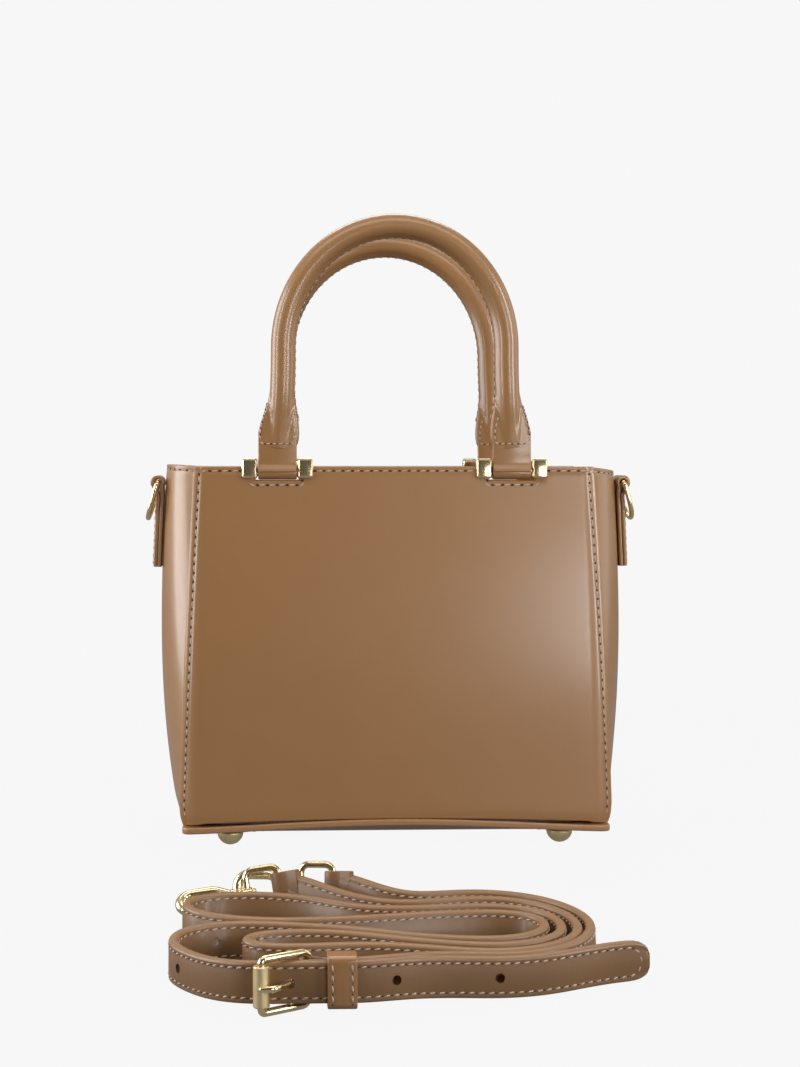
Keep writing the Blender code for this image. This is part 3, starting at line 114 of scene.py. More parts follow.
# %% A small builder for node materials
class Finish:
    """A material whose nodes are added one at a time and linked by the names of their sockets."""

    def __init__(self, name, colour, roughness, metallic=0.0):
        self.material = bpy.data.materials.new(name)
        self.material.use_nodes = True
        self.tree = self.material.node_tree
        self.shader = self.tree.nodes["Principled BSDF"]
        self.set(self.shader, {"Base Color": (*colour, 1.0), "Roughness": roughness, "Metallic": metallic})
        self.material.diffuse_color = (*colour, 1.0)
        self.coordinates = self.tree.nodes.new("ShaderNodeTexCoord").outputs["Object"]

    def set(self, node, values):
        for socket, value in values.items():
            node.inputs[socket].default_value = value

    def node(self, kind, values=None, links=None, **settings):
        node = self.tree.nodes.new("ShaderNode" + kind)
        for setting, value in settings.items():
            setattr(node, setting, value)
        self.set(node, values or {})
        for socket, source in (links or {}).items():
            self.tree.links.new(source, node.inputs[socket])
        return node

    def noise(self, size, detail=3.0, source=None):
        """Noise whose features are about one size, in metres."""
        place = source or self.coordinates
        return self.node("TexNoise", {"Scale": 1 / size, "Detail": detail}, {"Vector": place}).outputs["Fac"]

    def between(self, share, low, high, start=0.3, end=0.7):
        """Turns a share into a value between two others."""
        values = {"From Min": start, "From Max": end, "To Min": low, "To Max": high}
        return self.node("MapRange", values, {"Value": share}).outputs["Result"]

    def blend(self, share, one, other):
        """Mixes two colours, each given as numbers or as a socket."""
        node = self.node("Mix", data_type="RGBA", links={0: share})
        for socket, colour in ((6, one), (7, other)):
            if isinstance(colour, tuple):
                node.inputs[socket].default_value = (*colour, 1.0)
            else:
                self.tree.links.new(colour, node.inputs[socket])
        return node.outputs[2]

    def attribute(self, name):
        return self.node("Attribute", attribute_name=name).outputs["Fac"]

    def feed(self, socket, source):
        self.tree.links.new(source, self.shader.inputs[socket])

    def bumps(self, *layers):
        """Stacks bumps of (height source, depth in metres)."""
        below = None
        for height, depth in layers:
            bump = self.node("Bump", {"Distance": depth, "Strength": 1.0}, {"Height": height})
            if below:
                self.tree.links.new(below, bump.inputs["Normal"])
            below = bump.outputs["Normal"]
        self.feed("Normal", below)


# %% Leather and its painted edges
TAN = (0.345, 0.166, 0.054)
TAN_DEEP = (0.298, 0.139, 0.043)
TAN_WORN = (0.40, 0.205, 0.085)
# The strap's colours are the tan leather's, made darker: painted shade on the same leather.
STRAP_TAN_SHADED = (0.218, 0.107, 0.037)
STRAP_DEEP_SHADED = (0.185, 0.088, 0.029)
STRAP_WORN_SHADED = (0.33, 0.175, 0.075)
EDGE_TAN = (0.42, 0.205, 0.08)
EDGE_DEEP = (0.31, 0.14, 0.048)


def leather_finish(name, light, deep, worn, gloss, grain_depth, polish=0.65):
    """Smooth leather: slow mottling, a fine grain, and a paler, drier line where the piece's edges wear."""
    made = Finish(name, light, gloss[0])
    mottle = made.noise(22 * MM, 4.0)
    colour = made.blend(made.between(mottle, 0.0, 0.3), light, deep)
    speck = made.noise(0.9 * MM, 2.0)
    colour = made.blend(made.between(speck, 0.0, 0.16), colour, deep)
    rub = made.between(made.attribute("near_edge"), 0.0, 0.55, 0.0, 1.0)
    made.feed("Base Color", made.blend(rub, colour, worn))
    made.feed("Roughness", made.between(made.noise(3.2 * MM, 5.0), gloss[0], gloss[1]))
    made.set(made.shader, {"Coat Weight": polish, "Coat Roughness": 0.2, "Specular IOR Level": 0.6})
    pores = made.node(
        "TexVoronoi", {"Scale": 1 / (0.55 * MM)}, {"Vector": made.coordinates}, feature="SMOOTH_F1"
    ).outputs["Distance"]
    made.bumps((made.noise(6 * MM, 2.0), 0.06 * MM), (pores, grain_depth), (made.noise(0.3 * MM, 2.0), grain_depth))
    return made.material


TAN_HIDE = leather_finish("tan_calf", TAN, TAN_DEEP, TAN_WORN, (0.36, 0.44), 0.012 * MM)
# the strap's darker copy of the tan leather: painted shade
STRAP_HIDE_SHADED = leather_finish("strap_calf_shaded", STRAP_TAN_SHADED, STRAP_DEEP_SHADED, STRAP_WORN_SHADED, (0.42, 0.52), 0.014 * MM, 0.15)
PAINTED_EDGE = leather_finish("painted_edge", EDGE_TAN, EDGE_DEEP, TAN_WORN, (0.34, 0.48), 0.02 * MM)
print("leather finishes:", TAN_HIDE.name, STRAP_HIDE_SHADED.name, PAINTED_EDGE.name)

# %% Thread, needle holes and cloth
THREAD_PALE = (0.66, 0.53, 0.43)
THREAD_SHADE = (0.45, 0.33, 0.25)


def thread_finish():
    """Waxed thread: the twist shows as fine slanting bands, whose darker parts are painted shade in the twist's
    grooves.
    """
    made = Finish("waxed_thread", THREAD_PALE, 0.6)
    bands = made.node(
        "TexWave", {"Scale": 1 / (1.1 * MM), "Distortion": 1.5}, {"Vector": made.coordinates}, bands_direction="DIAGONAL"
    ).outputs["Fac"]
    # the darker bands are painted shade in the twist's grooves
    made.feed("Base Color", made.blend(bands, THREAD_SHADE, THREAD_PALE))
    made.feed("Roughness", made.between(made.noise(2 * MM), 0.5, 0.7))
    made.bumps((bands, 0.06 * MM))
    return made.material


def painted_hole_shade_finish():
    """The needle hole's near-black spot: painted shade, laid on the uncut leather."""
    made = Finish("needle_hole_painted_shade", (0.03, 0.016, 0.009), 0.9)
    made.feed("Base Color", made.blend(made.noise(0.4 * MM), (0.02, 0.01, 0.006), (0.05, 0.026, 0.014)))
    made.feed("Roughness", made.between(made.noise(1 * MM), 0.85, 0.95))
    return made.material


def cloth_finish(name, light, deep, yarn):
    """Plain weave: two sets of rounded yarns, read from the piece's own across and up. The gaps between the yarns are
    coloured darker: painted shade.
    """
    made = Finish(name, light, 0.85)
    place = made.node("CombineXYZ", links={"X": made.attribute("weave_across"), "Y": made.attribute("weave_up")})
    sets = []
    for direction in ("X", "Y"):
        wave = made.node(
            "TexWave", {"Scale": 1 / (yarn * math.tau / 2), "Distortion": 0.3}, {"Vector": place.outputs["Vector"]},
            bands_direction=direction,
        )
        sets.append(wave.outputs["Fac"])
    weave = made.node("Math", links={0: sets[0], 1: sets[1]}, operation="MULTIPLY").outputs["Value"]
    slub = made.noise(5 * MM, 4.0)
    # where the yarns dip between each other the colour turns deep: painted shade in the weave's gaps
    colour = made.blend(made.between(weave, 0.0, 1.0, 0.0, 0.7), deep, light)
    made.feed("Base Color", made.blend(made.between(slub, 0.0, 0.35), colour, deep))
    made.feed("Roughness", made.between(slub, 0.8, 0.92))
    made.set(made.shader, {"Sheen Weight": 0.2, "Sheen Roughness": 0.5})
    made.bumps((weave, 0.12 * MM))
    return made.material


def card_finish():
    """Cloth-covered board, read from Object coordinates because the piece is flat."""
    made = Finish("board_cover", (0.30, 0.26, 0.22), 0.85)
    fibre = made.noise(1.2 * MM, 6.0)
    made.feed("Base Color", made.blend(made.between(fibre, 0.0, 1.0), (0.33, 0.29, 0.25), (0.24, 0.2, 0.16)))
    made.feed("Roughness", made.between(fibre, 0.78, 0.92))
    made.bumps((fibre, 0.08 * MM))
    return made.material


THREAD = thread_finish()
# near-black spots of painted shade, standing for the needle holes
PAINTED_HOLE_SHADE = painted_hole_shade_finish()
LINING = cloth_finish("lining_weave", (0.40, 0.27, 0.165), (0.25, 0.155, 0.085), 0.7 * MM)
BOARD_COVER = card_finish()
print("cloth and thread:", LINING.name, THREAD.name)

# %% Pale gold
GOLD_LIGHT = (0.92, 0.75, 0.45)
GOLD_DEEP = (0.83, 0.65, 0.36)


def gold_finish(name, gloss, scratch_depth, streak):
    """Plated metal: slow changes of tint, and fine scratches that widen its highlights."""
    made = Finish(name, GOLD_LIGHT, gloss[0], 1.0)
    made.feed("Base Color", made.blend(made.between(made.noise(4 * MM, 3.0), 0.0, 1.0), GOLD_LIGHT, GOLD_DEEP))
    stretched = made.node("Mapping", {"Scale": streak}, {"Vector": made.coordinates}).outputs["Vector"]
    scratches = made.noise(0.5 * MM, 4.0, stretched)
    made.feed("Roughness", made.between(scratches, gloss[0], gloss[1]))
    made.bumps((scratches, scratch_depth))
    return made.material


GOLD = gold_finish("polished_gold", (0.14, 0.21), 0.0012 * MM, (1.0, 1.0, 1.0))
BRUSHED_GOLD = gold_finish("brushed_gold", (0.22, 0.38), 0.01 * MM, (0.15, 1.0, 1.0))
SATIN_GOLD = gold_finish("satin_gold", (0.36, 0.46), 0.003 * MM, (1.0, 1.0, 1.0))
print("metal:", GOLD.name, BRUSHED_GOLD.name, SATIN_GOLD.name)

# %% [markdown]
# ## Helpers for sheets, bands and turned shapes
#
# A sheet is a grid that a function bends into place, thickened afterwards. A band or a wire is a section
# carried along a path: its first section is one face, extruded and moved again and again. A turned shape
# is a profile that Blender's spin operator takes round an axis.

# %% Put a mesh into the scene
SMOOTH_BELOW = math.radians(42)


def add_piece(name, bm, materials, body, replaces=(), tidy_normals=True):
    """Makes a scene object of a bmesh, and says which body carries it and which solids it stands for."""
    if tidy_normals:
        bmesh.ops.recalc_face_normals(bm, faces=bm.faces)
    mesh = bpy.data.meshes.new(name)
    bm.to_mesh(mesh)
    bm.free()
    for material in materials:
        mesh.materials.append(material)
    mesh.shade_smooth()
    mesh.set_sharp_from_angle(angle=SMOOTH_BELOW)
    piece = bpy.data.objects.new(name, mesh)
    scene.collection.objects.link(piece)
    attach(piece, body)
    if replaces:
        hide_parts(*replaces)
    print(name, "has", len(mesh.polygons), "faces")
    return piece


def thicken(piece, thickness, round_off, rim_material=1):
    """Gives a sheet its thickness behind its face, and rounds the edges."""
    solid = piece.modifiers.new("thickness", "SOLIDIFY")
    solid.thickness = thickness
    solid.offset = -1
    solid.use_even_offset = True
    solid.material_offset_rim = rim_material
    soften = piece.modifiers.new("rounded edges", "BEVEL")
    soften.width = round_off
    soften.segments = 3
    soften.limit_method = "ANGLE"
    soften.angle_limit = math.radians(50)
    return piece


# %% Bend a grid
def bent_grid(columns, rows, place):
    """A grid whose lines lie at the given shares, each point moved to place(across, up)."""
    bm = bmesh.new()
    bmesh.ops.create_grid(bm, x_segments=len(columns) - 1, y_segments=len(rows) - 1, size=1.0)
    even_columns, even_rows = np.linspace(-1, 1, len(columns)), np.linspace(-1, 1, len(rows))
    near_edge = bm.verts.layers.float.new("near_edge")
    for corner in bm.verts:
        across = float(np.interp(corner.co.x, even_columns, columns))
        up = float(np.interp(corner.co.y, even_rows, rows))
        corner.co, corner[near_edge] = place(across, up)
    return bm


# %% Loft, sweep and turn
def loft(bm, rings, closed=False, marks=None):
    """Extrudes the first ring's face to each next ring. A closed loft joins its last ring to its first."""
    near_edge = bm.verts.layers.float.get("near_edge") or bm.verts.layers.float.new("near_edge")

    def settle(face, ring):
        for index, (corner, point) in enumerate(zip(face.verts, ring)):
            corner.co = point
            corner[near_edge] = marks[index] if marks else 0.0

    face = bm.faces.new([bm.verts.new(point) for point in rings[0]])
    first = face
    settle(first, rings[0])
    for ring in rings[1:]:
        made = bmesh.ops.extrude_face_region(bm, geom=[face])
        moved = next(item for item in made["geom"] if isinstance(item, bmesh.types.BMFace))
        if face is not first:
            bm.faces.remove(face)
        face = moved
        settle(face, ring)
    if closed:
        ends = first.edges[:] + face.edges[:]
        bm.faces.remove(first)
        bm.faces.remove(face)
        bmesh.ops.bridge_loops(bm, edges=ends)
    return bm


def flat_sweep(path, plane, section, closed=False, scales=None, marks=None, bm=None):
    """Carries a section of (outward, sideways) points along a path that lies in one plane."""
    bm = bm or bmesh.new()
    path = [Vector(point) for point in path]
    plane = Vector(plane).normalized()
    rings = []
    for index, point in enumerate(path):
        before = path[index - 1] if closed or index else point
        after = path[(index + 1) % len(path)] if closed or index + 1 < len(path) else point
        outward = (after - before).normalized().cross(plane)
        size = scales[index] if scales else 1.0
        rings.append([point + outward * out * size + plane * side * size for out, side in section])
    return loft(bm, rings, closed, marks)


def turned(profile, matrix, steps=48, bm=None):
    """Spins a profile of (radius, height) points about Z, and puts it in its place."""
    made = bmesh.new()
    points = [made.verts.new((radius, 0, height)) for radius, height in profile]
    edges = [made.edges.new(pair) for pair in zip(points, points[1:])]
    bmesh.ops.spin(
        made, geom=points + edges, cent=(0, 0, 0), axis=(0, 0, 1), angle=math.tau, steps=steps, use_merge=True
    )
    bmesh.ops.remove_doubles(made, verts=made.verts, dist=0.01 * MM)
    bmesh.ops.recalc_face_normals(made, faces=made.faces)
    bmesh.ops.transform(made, matrix=matrix, verts=made.verts)
    if bm is None:
        return made
    mesh = bpy.data.meshes.new("turned")
    made.to_mesh(mesh)
    made.free()
    bm.from_mesh(mesh)
    bpy.data.meshes.remove(mesh)
    return bm


# %% Sections, arcs and frames
def arc(middle, radius, start, end, steps):
    """Points of an arc in a plane, from one angle to another."""
    angles = np.linspace(start, end, steps + 1)
    return [(middle[0] + radius * math.cos(a), middle[1] + radius * math.sin(a)) for a in angles]


def round_section(radius, sides=16):
    return arc((0, 0), radius, 0, math.tau, sides)[:-1]


def band_section(half_thick, half_wide, corner, steps=3):
    """The rounded outline of a flat band: (outward, sideways) points."""
    outline = []
    for x, y, start in (
        (half_thick - corner, half_wide - corner, 0), (corner - half_thick, half_wide - corner, math.pi / 2),
        (corner - half_thick, corner - half_wide, math.pi), (half_thick - corner, corner - half_wide, 3 * math.pi / 2),
    ):
        outline += arc((x, y), corner, start, start + math.pi / 2, steps)
    return outline


def rounded_loop(low, high, corner_low, corner_high, steps=8):
    """A rectangle's outline with round corners, its low end's corners first in size."""
    outline = []
    for x, y, corner, start in (
        (high[0], high[1], corner_high, 0), (low[0], high[1], corner_low, math.pi / 2),
        (low[0], low[1], corner_low, math.pi), (high[0], low[1], corner_high, 3 * math.pi / 2),
    ):
        middle = (x - math.copysign(corner, x - (low[0] + high[0]) / 2), y - math.copysign(corner, y))
        outline += arc(middle, corner, start, start + math.pi / 2, steps)
    return outline


def axes(origin, across, up, along):
    """The matrix that takes local X, Y and Z to three directions at a point."""
    return Matrix.Translation(origin) @ Matrix((across, up, along)).transposed().to_4x4()


def between(low, high, share):
    return low + (high - low) * share


def eased(value, heights, shares, reach):
    """Reads a table smoothly: the mean of five readings round a height."""
    return float(np.mean([np.interp(value + reach * offset, heights, shares) for offset in (-1, -0.5, 0, 0.5, 1)]))


# %% [markdown]
# ## Stitches
#
# The seams are sewn with a thick pale thread. A stitch is a short, plump, slightly slanted lozenge that dips
# into a pricked hole at each end, so a row shows pale dashes with dark dots between them. Each stitch is a
# small sphere, stretched and laid on the surface, and each hole a flattened one in near black: painted shade,
# as the leather itself is not cut.

# %% Sew a row
STITCH_PITCH = 4.3 * MM
STITCH_LENGTH_SHARE = 0.31
STITCH_HALF_WIDTH = 0.38 * MM
STITCH_HALF_HEIGHT = 0.34 * MM
STITCH_SLANT = math.radians(7)
NEEDLE_PRICK_SHARES = (0.2, 0.14)
HOLE_HALF_HEIGHT = 0.16 * MM


def small_shape(name, make, **settings):
    """A tiny mesh that is copied many times."""
    bm = bmesh.new()
    make(bm, radius=1, **settings)
    mesh = bpy.data.meshes.new(name)
    bm.to_mesh(mesh)
    bm.free()
    return mesh


STITCH = small_shape("stitch", bmesh.ops.create_uvsphere, u_segments=8, v_segments=6)
HOLE_SHADE_SPOT = small_shape("hole_shade_spot", bmesh.ops.create_icosphere, subdivisions=1)


def stamp(bm, shape, matrix):
    """Adds one copy of a small shape in its place."""
    copy = shape.copy()
    copy.transform(matrix)
    bm.from_mesh(copy)
    bpy.data.meshes.remove(copy)


class Sewing:
    """Collects the stitches of one piece, and the near-black spots of painted shade that stand for its needle holes."""

    def __init__(self, name, body):
        self.name, self.body = name, body
        self.thread, self.holes = bmesh.new(), bmesh.new()
        self.count = 0

    def row(self, line, normals, pitch=STITCH_PITCH, slant=STITCH_SLANT, prick=NEEDLE_PRICK_SHARES, reach=1.0):
        """Lays stitches along a line of points, each point with the surface's direction there."""
        line, normals = np.array(line), np.array(normals)
        steps = np.linalg.norm(np.diff(line, axis=0), axis=1)
        stations = np.concatenate([[0], np.cumsum(steps)])
        count = max(int(stations[-1] / pitch), 1)
        pitch = stations[-1] / count

        def read(table, distance):
            return Vector([np.interp(distance, stations, table[:, axis]) for axis in range(3)])

        for index in range(count):
            at = (index + 0.5) * pitch
            along = (read(line, at + pitch / 4) - read(line, at - pitch / 4)).normalized()
            up = read(normals, at).normalized()
            side = up.cross(along).normalized()
            lean = along * math.cos(slant) + side * math.sin(slant)
            place = read(line, at) + up * STITCH_HALF_HEIGHT / 4
            stretch = Matrix.Diagonal((reach * STITCH_LENGTH_SHARE * pitch, STITCH_HALF_WIDTH, STITCH_HALF_HEIGHT, 1))
            turn = axes(place, lean, up.cross(lean), up)
            stamp(self.thread, STITCH, turn @ stretch)
            # each needle hole is a flat near-black spot: painted shade
            hole = axes(read(line, index * pitch), along, side, up)
            flat = (prick[0] * pitch, prick[1] * pitch, HOLE_HALF_HEIGHT, 1)
            stamp(self.holes, HOLE_SHADE_SPOT, hole @ Matrix.Diagonal(flat))
        self.count += count

    def finish(self):
        print(self.name, "is sewn with", self.count, "stitches")
        thread = add_piece(self.name + "_thread", self.thread, [THREAD], self.body, (), False)
        # the needle holes' dark spots are painted shade
        holes = add_piece(
            self.name + "_needle_hole_painted_shade", self.holes, [PAINTED_HOLE_SHADE], self.body, (), False
        )
        return [thread, holes]


def surface_row(place, shares):
    """Points and outward directions of a bent grid's surface along a list of (across, up)."""
    points, normals = [], []
    step = 0.002
    for across, up in shares:
        here, _ = place(across, up)
        beside, _ = place(across + step, up)
        above, _ = place(across, up + step)
        points.append(here)
        normals.append((beside - here).cross(above - here).normalized())
    return points, normals


# %% [markdown]
# ## The body's shape
#
# Everything about the body follows from a few sizes: how wide and deep it is at the rim and at the base, how
# far the panels belly out, and how the panels' side edges turn back round a wide radius. The solids of the
# frame were made from the same sizes, so the sheets fit them.

# %% Sizes and curves of the body
RIM_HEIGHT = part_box("front_panel")[1].z
SEAM_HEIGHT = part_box("front_panel")[0].z
BODY_HEIGHT = RIM_HEIGHT - SEAM_HEIGHT
GAP = 0.3 * MM
RIM_HALF_WIDTH = 96.8 * MM
BASE_HALF_WIDTH = 104.0 * MM
SIDE_BOW = 0.6 * MM
CORNER_TUCK = 1.8 * MM
CORNER_TUCK_HEIGHT = 12.0 * MM
RIM_HALF_DEPTH = 29.0 * MM
BASE_HALF_DEPTH = 48.0 * MM
PANEL_BELLY = 2.2 * MM
PANEL = 2.4 * MM
GUSSET = 1.8 * MM
EDGE_RADIUS = 18.0 * MM
RIM_EDGE_TURN = math.radians(24)
BASE_EDGE_TURN = math.radians(42)
PANEL_FLAT_SHARE = 0.6
SEAM_LAP = 8.0 * MM
GUSSET_SWELL_LOW = 1.8 * MM
GUSSET_SWELL_HIGH = 14.4 * MM
SWELL_POWER = 3.2
GUSSET_DIP = -1.0 * MM
RIGHT_GUSSET_DIP = min(2.2 * MM, RIM_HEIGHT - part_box("lining")[1].z - 0.3 * MM)
print("right gusset dips", round(RIGHT_GUSSET_DIP / MM, 2), "mm")
GUSSET_FREE_SHARE = 0.8
SEAM_ARCH = 3.6 * MM
SEAM_ARCH_POWER = 1.7
WALL_LEAN = math.atan2(BASE_HALF_DEPTH - RIM_HALF_DEPTH, BODY_HEIGHT)


def half_depth(share):
    return between(BASE_HALF_DEPTH, RIM_HALF_DEPTH, share) + PANEL_BELLY * (4 * share * (1 - share)) ** 2


def half_width(share):
    tuck = CORNER_TUCK * max(1 - share * BODY_HEIGHT / CORNER_TUCK_HEIGHT, 0) ** 2
    return between(BASE_HALF_WIDTH, RIM_HALF_WIDTH, share) + SIDE_BOW * 4 * share * (1 - share) - tuck


def edge_turn(share):
    return between(BASE_EDGE_TURN, RIM_EDGE_TURN, share)


def height_share(height):
    return min(max((height - SEAM_HEIGHT) / BODY_HEIGHT, 0), 1)


def edge_centre(share):
    """The middle of the arc that turns a panel's side edge back."""
    return half_width(share) - EDGE_RADIUS * math.sin(edge_turn(share)), EDGE_RADIUS - half_depth(share)


def gusset_arc(share, inset=0.0):
    """The circle of the gusset's swell seen from above: its middle on X, its radius and its half angle."""
    middle_x, middle_y = edge_centre(share)
    reach = EDGE_RADIUS - PANEL - GAP
    start_x = middle_x + reach * math.sin(edge_turn(share))
    start_y = middle_y - reach * math.cos(edge_turn(share))
    swell = between(GUSSET_SWELL_LOW, GUSSET_SWELL_HIGH, 1 - (1 - share) ** SWELL_POWER)
    rise = half_width(share) + swell - start_x
    radius = (start_y ** 2 + rise ** 2) / (2 * rise)
    return start_x + rise - radius, radius - inset, math.asin(min(-start_y / radius, 1))


def seam_rise(across):
    return SEAM_ARCH * (1 - min(across ** 2, 1)) ** SEAM_ARCH_POWER


def groove(distance, width=0.9 * MM):
    """How much of a seam's dip there is at a distance from it."""
    return math.exp(-((distance / width) ** 2))


print("body height", round(BODY_HEIGHT / MM, 1), "mm, wall lean", round(math.degrees(WALL_LEAN), 1), "degrees")

# %% [markdown]
# ## Front and back panel
#
# Each panel is one piece of leather with its sides turned back. A row of stitches runs just inside the top
# and side edges, and pulls the leather down along its line. The lower edge tucks in above the base. Two
# notches in the rim make room for the handle tabs, with a small stitched U below each.

# %% Bend and sew the panels
TOP_SEAM_INSET = 2.2 * MM
SIDE_SEAM_INSET = 3.1 * MM
SEAM_DIP = 0.28 * MM
TUCK = 0.6 * MM
LOW_EDGE_DROP = 0.15 * MM
LOW_EDGE_FOLLOW = 0.9
TUCK_HEIGHT = 5.0 * MM
EDGE_WEAR = 2.0 * MM
TAB_SPAN = 113.0 * MM
TAB_WIDTH = 18.5 * MM
BAR_HEIGHT = 177.8 * MM
NOTCH_HALF = 11.1 * MM
NOTCH_BOTTOM = BAR_HEIGHT - 3.8 * MM
NOTCH_SEAM_BELOW = 2.0 * MM


def panel_place(across, up):
    """A point of the front panel's outer face: across from -1 to 1, up from 0 to 1."""
    low = SEAM_HEIGHT - LOW_EDGE_DROP + LOW_EDGE_FOLLOW * seam_rise(across)
    height = between(low, RIM_HEIGHT, up)
    share = height_share(height)
    middle_x, middle_y = edge_centre(share)
    beyond = (abs(across) - PANEL_FLAT_SHARE) / (1 - PANEL_FLAT_SHARE)
    from_side = (1 - abs(across)) / (1 - PANEL_FLAT_SHARE) * EDGE_RADIUS * edge_turn(share)
    from_top = RIM_HEIGHT - height
    from_low = height - low
    angle = max(beyond, 0) * edge_turn(share)
    side = math.copysign(1, across)
    outward = Vector((side * math.sin(angle), -math.cos(angle), 0))
    x = side * (middle_x + EDGE_RADIUS * math.sin(angle)) if beyond > 0 else across / PANEL_FLAT_SHARE * middle_x
    point = Vector((x, middle_y - EDGE_RADIUS * math.cos(angle), height))
    dip = SEAM_DIP * max(groove(from_top - TOP_SEAM_INSET), groove(from_side - SIDE_SEAM_INSET))
    tuck = TUCK * max(1 - from_low / TUCK_HEIGHT, 0) ** 2
    wear = max(1 - min(from_top, from_side, from_low) / EDGE_WEAR, 0)
    return point - outward * (dip + tuck), wear


def mirrored(shares):
    """Shares on one side of the middle, and their mirror image."""
    return sorted({-s for s in shares} | set(shares))


PANEL_COLUMNS = mirrored([*np.linspace(0, PANEL_FLAT_SHARE, 13), *np.linspace(PANEL_FLAT_SHARE, 1, 19)])
TOP_ROW_OFFSETS = (0, 0.7, 1.3, 1.8, 2.2, 2.6, 3.1, 3.7, 4.6)
PANEL_ROWS = sorted(
    [1 - offset * MM / BODY_HEIGHT for offset in TOP_ROW_OFFSETS]
    + list(np.linspace(0, TUCK_HEIGHT / BODY_HEIGHT, 6)[:-1]) + list(np.linspace(0.03, 0.965, 44))
)


def cut_notches(bm):
    """Opens the rim where the handle tabs pass."""
    for centre in (-TAB_SPAN / 2, TAB_SPAN / 2):
        for edge in (centre - NOTCH_HALF, centre + NOTCH_HALF):
            bmesh.ops.bisect_plane(
                bm, geom=bm.verts[:] + bm.edges[:] + bm.faces[:], plane_co=(edge, 0, 0), plane_no=(1, 0, 0),
                dist=0.001 * MM,
            )
        inside = [face for face in bm.faces if abs(face.calc_center_median().x - centre) < NOTCH_HALF]
        corners = list({corner for face in inside for corner in face.verts})
        edges = list({edge for face in inside for edge in face.edges})
        bmesh.ops.bisect_plane(
            bm, geom=corners + edges + inside, plane_co=(0, 0, NOTCH_BOTTOM), plane_no=(0, 0, 1), dist=0.001 * MM,
        )
        waste = [
            face for face in bm.faces
            if abs(face.calc_center_median().x - centre) < NOTCH_HALF and face.calc_center_median().z > NOTCH_BOTTOM
        ]
        bmesh.ops.delete(bm, geom=waste, context="FACES")


def panel_share(height):
    return (height - SEAM_HEIGHT) / BODY_HEIGHT


def panel_across(x):
    """The panel's across share at a distance from the middle, near the rim."""
    return x / edge_centre(1)[0] * PANEL_FLAT_SHARE


SIDE_ROW_POINTS = 60
SIDE_PRICK = (0.17, 0.17)
SIDE_REACH = 0.85


def sew_panel(sewing, turn):
    """Top rows between the notches, side rows, and a U below each notch."""
    top = 1 - TOP_SEAM_INSET / BODY_HEIGHT
    rows = []
    notch_low, notch_high = TAB_SPAN / 2 - NOTCH_HALF - 6.8 * MM, TAB_SPAN / 2 + NOTCH_HALF + 6.8 * MM
    inner, outer = panel_across(notch_low), panel_across(notch_high)
    side = 1 - SIDE_SEAM_INSET * (1 - PANEL_FLAT_SHARE) / (EDGE_RADIUS * edge_turn(1))
    rows.append([(a, top) for a in np.linspace(-inner, inner, 40)])
    for sign in (-1, 1):
        rows.append([(sign * a, top) for a in np.linspace(outer, side, 20)])
        line = []
        for up in np.linspace(top - 1.5 * MM / BODY_HEIGHT, 0.02, SIDE_ROW_POINTS):
            turn_here = edge_turn(height_share(between(SEAM_HEIGHT, RIM_HEIGHT, up)))
            line.append((sign * (1 - SIDE_SEAM_INSET * (1 - PANEL_FLAT_SHARE) / (EDGE_RADIUS * turn_here)), up))
        rows.append(line)
        low = panel_share(NOTCH_BOTTOM - NOTCH_SEAM_BELOW)
        high = panel_share(BAR_HEIGHT - 3.6 * MM)
        left = panel_across(TAB_SPAN / 2 - NOTCH_HALF - 0.9 * MM)
        right = panel_across(TAB_SPAN / 2 + NOTCH_HALF + 0.9 * MM)
        rows.append([(sign * a, u) for a, u in ((left, high), (left, low), (right, low), (right, high))])
    for row in rows:
        points, normals = surface_row(panel_place, row)
        look = {"prick": SIDE_PRICK, "reach": SIDE_REACH} if len(row) == SIDE_ROW_POINTS else {}
        sewing.row([turn @ p for p in points], [turn @ n for n in normals], **look)


HALF_TURN = Matrix.Rotation(math.pi, 3, "Z")
for name, turn in (("front_panel", Matrix.Identity(3)), ("back_panel", HALF_TURN)):
    bm = bent_grid(PANEL_COLUMNS, PANEL_ROWS, panel_place)
    cut_notches(bm)
    bmesh.ops.transform(bm, matrix=turn.to_4x4(), verts=bm.verts)
    panel = add_piece(name + "_leather", bm, [TAN_HIDE, PAINTED_EDGE], "bag", [name], False)
    thicken(panel, PANEL, 0.75 * MM)
    sewing = Sewing(name, "bag")
    sew_panel(sewing, turn)
    sewing.finish()

# %% [markdown]
# ## Gussets
#
# A gusset is a softer sheet between the panels. Its long edges lie flat behind them, and its middle swells
# outward along an arc that grows from the base to the rim. Its top edge dips in the middle on the right, and stands a little proud on the left.

# %% Bend and sew the gussets
def gusset_place(across, up, middle_dip=GUSSET_DIP):
    """A point of the right gusset's outer face: across from -1 to 1, up from 0 to 1."""
    dip = middle_dip * (1 - across ** 2) ** 2
    height = between(SEAM_HEIGHT, RIM_HEIGHT - dip, up)
    share = height_share(height)
    from_top = RIM_HEIGHT - dip - height
    beyond = (abs(across) - GUSSET_FREE_SHARE) / (1 - GUSSET_FREE_SHARE)
    wear = max(1 - from_top / EDGE_WEAR, 0)
    pull = SEAM_DIP * groove(from_top - TOP_SEAM_INSET)
    if beyond <= 0:
        middle, radius, half_angle = gusset_arc(share)
        angle = across / GUSSET_FREE_SHARE * half_angle
        outward = Vector((math.cos(angle), math.sin(angle), 0))
        return Vector((middle, 0, height)) + outward * (radius - pull), wear
    middle_x, middle_y = edge_centre(share)
    reach = EDGE_RADIUS - PANEL - GAP
    lap = min(edge_turn(share), SEAM_LAP / reach)
    turn = edge_turn(share) - beyond * lap
    y = math.copysign(1, across) * (reach * math.cos(turn) - middle_y)
    return Vector((middle_x + reach * math.sin(turn), y, height)), wear


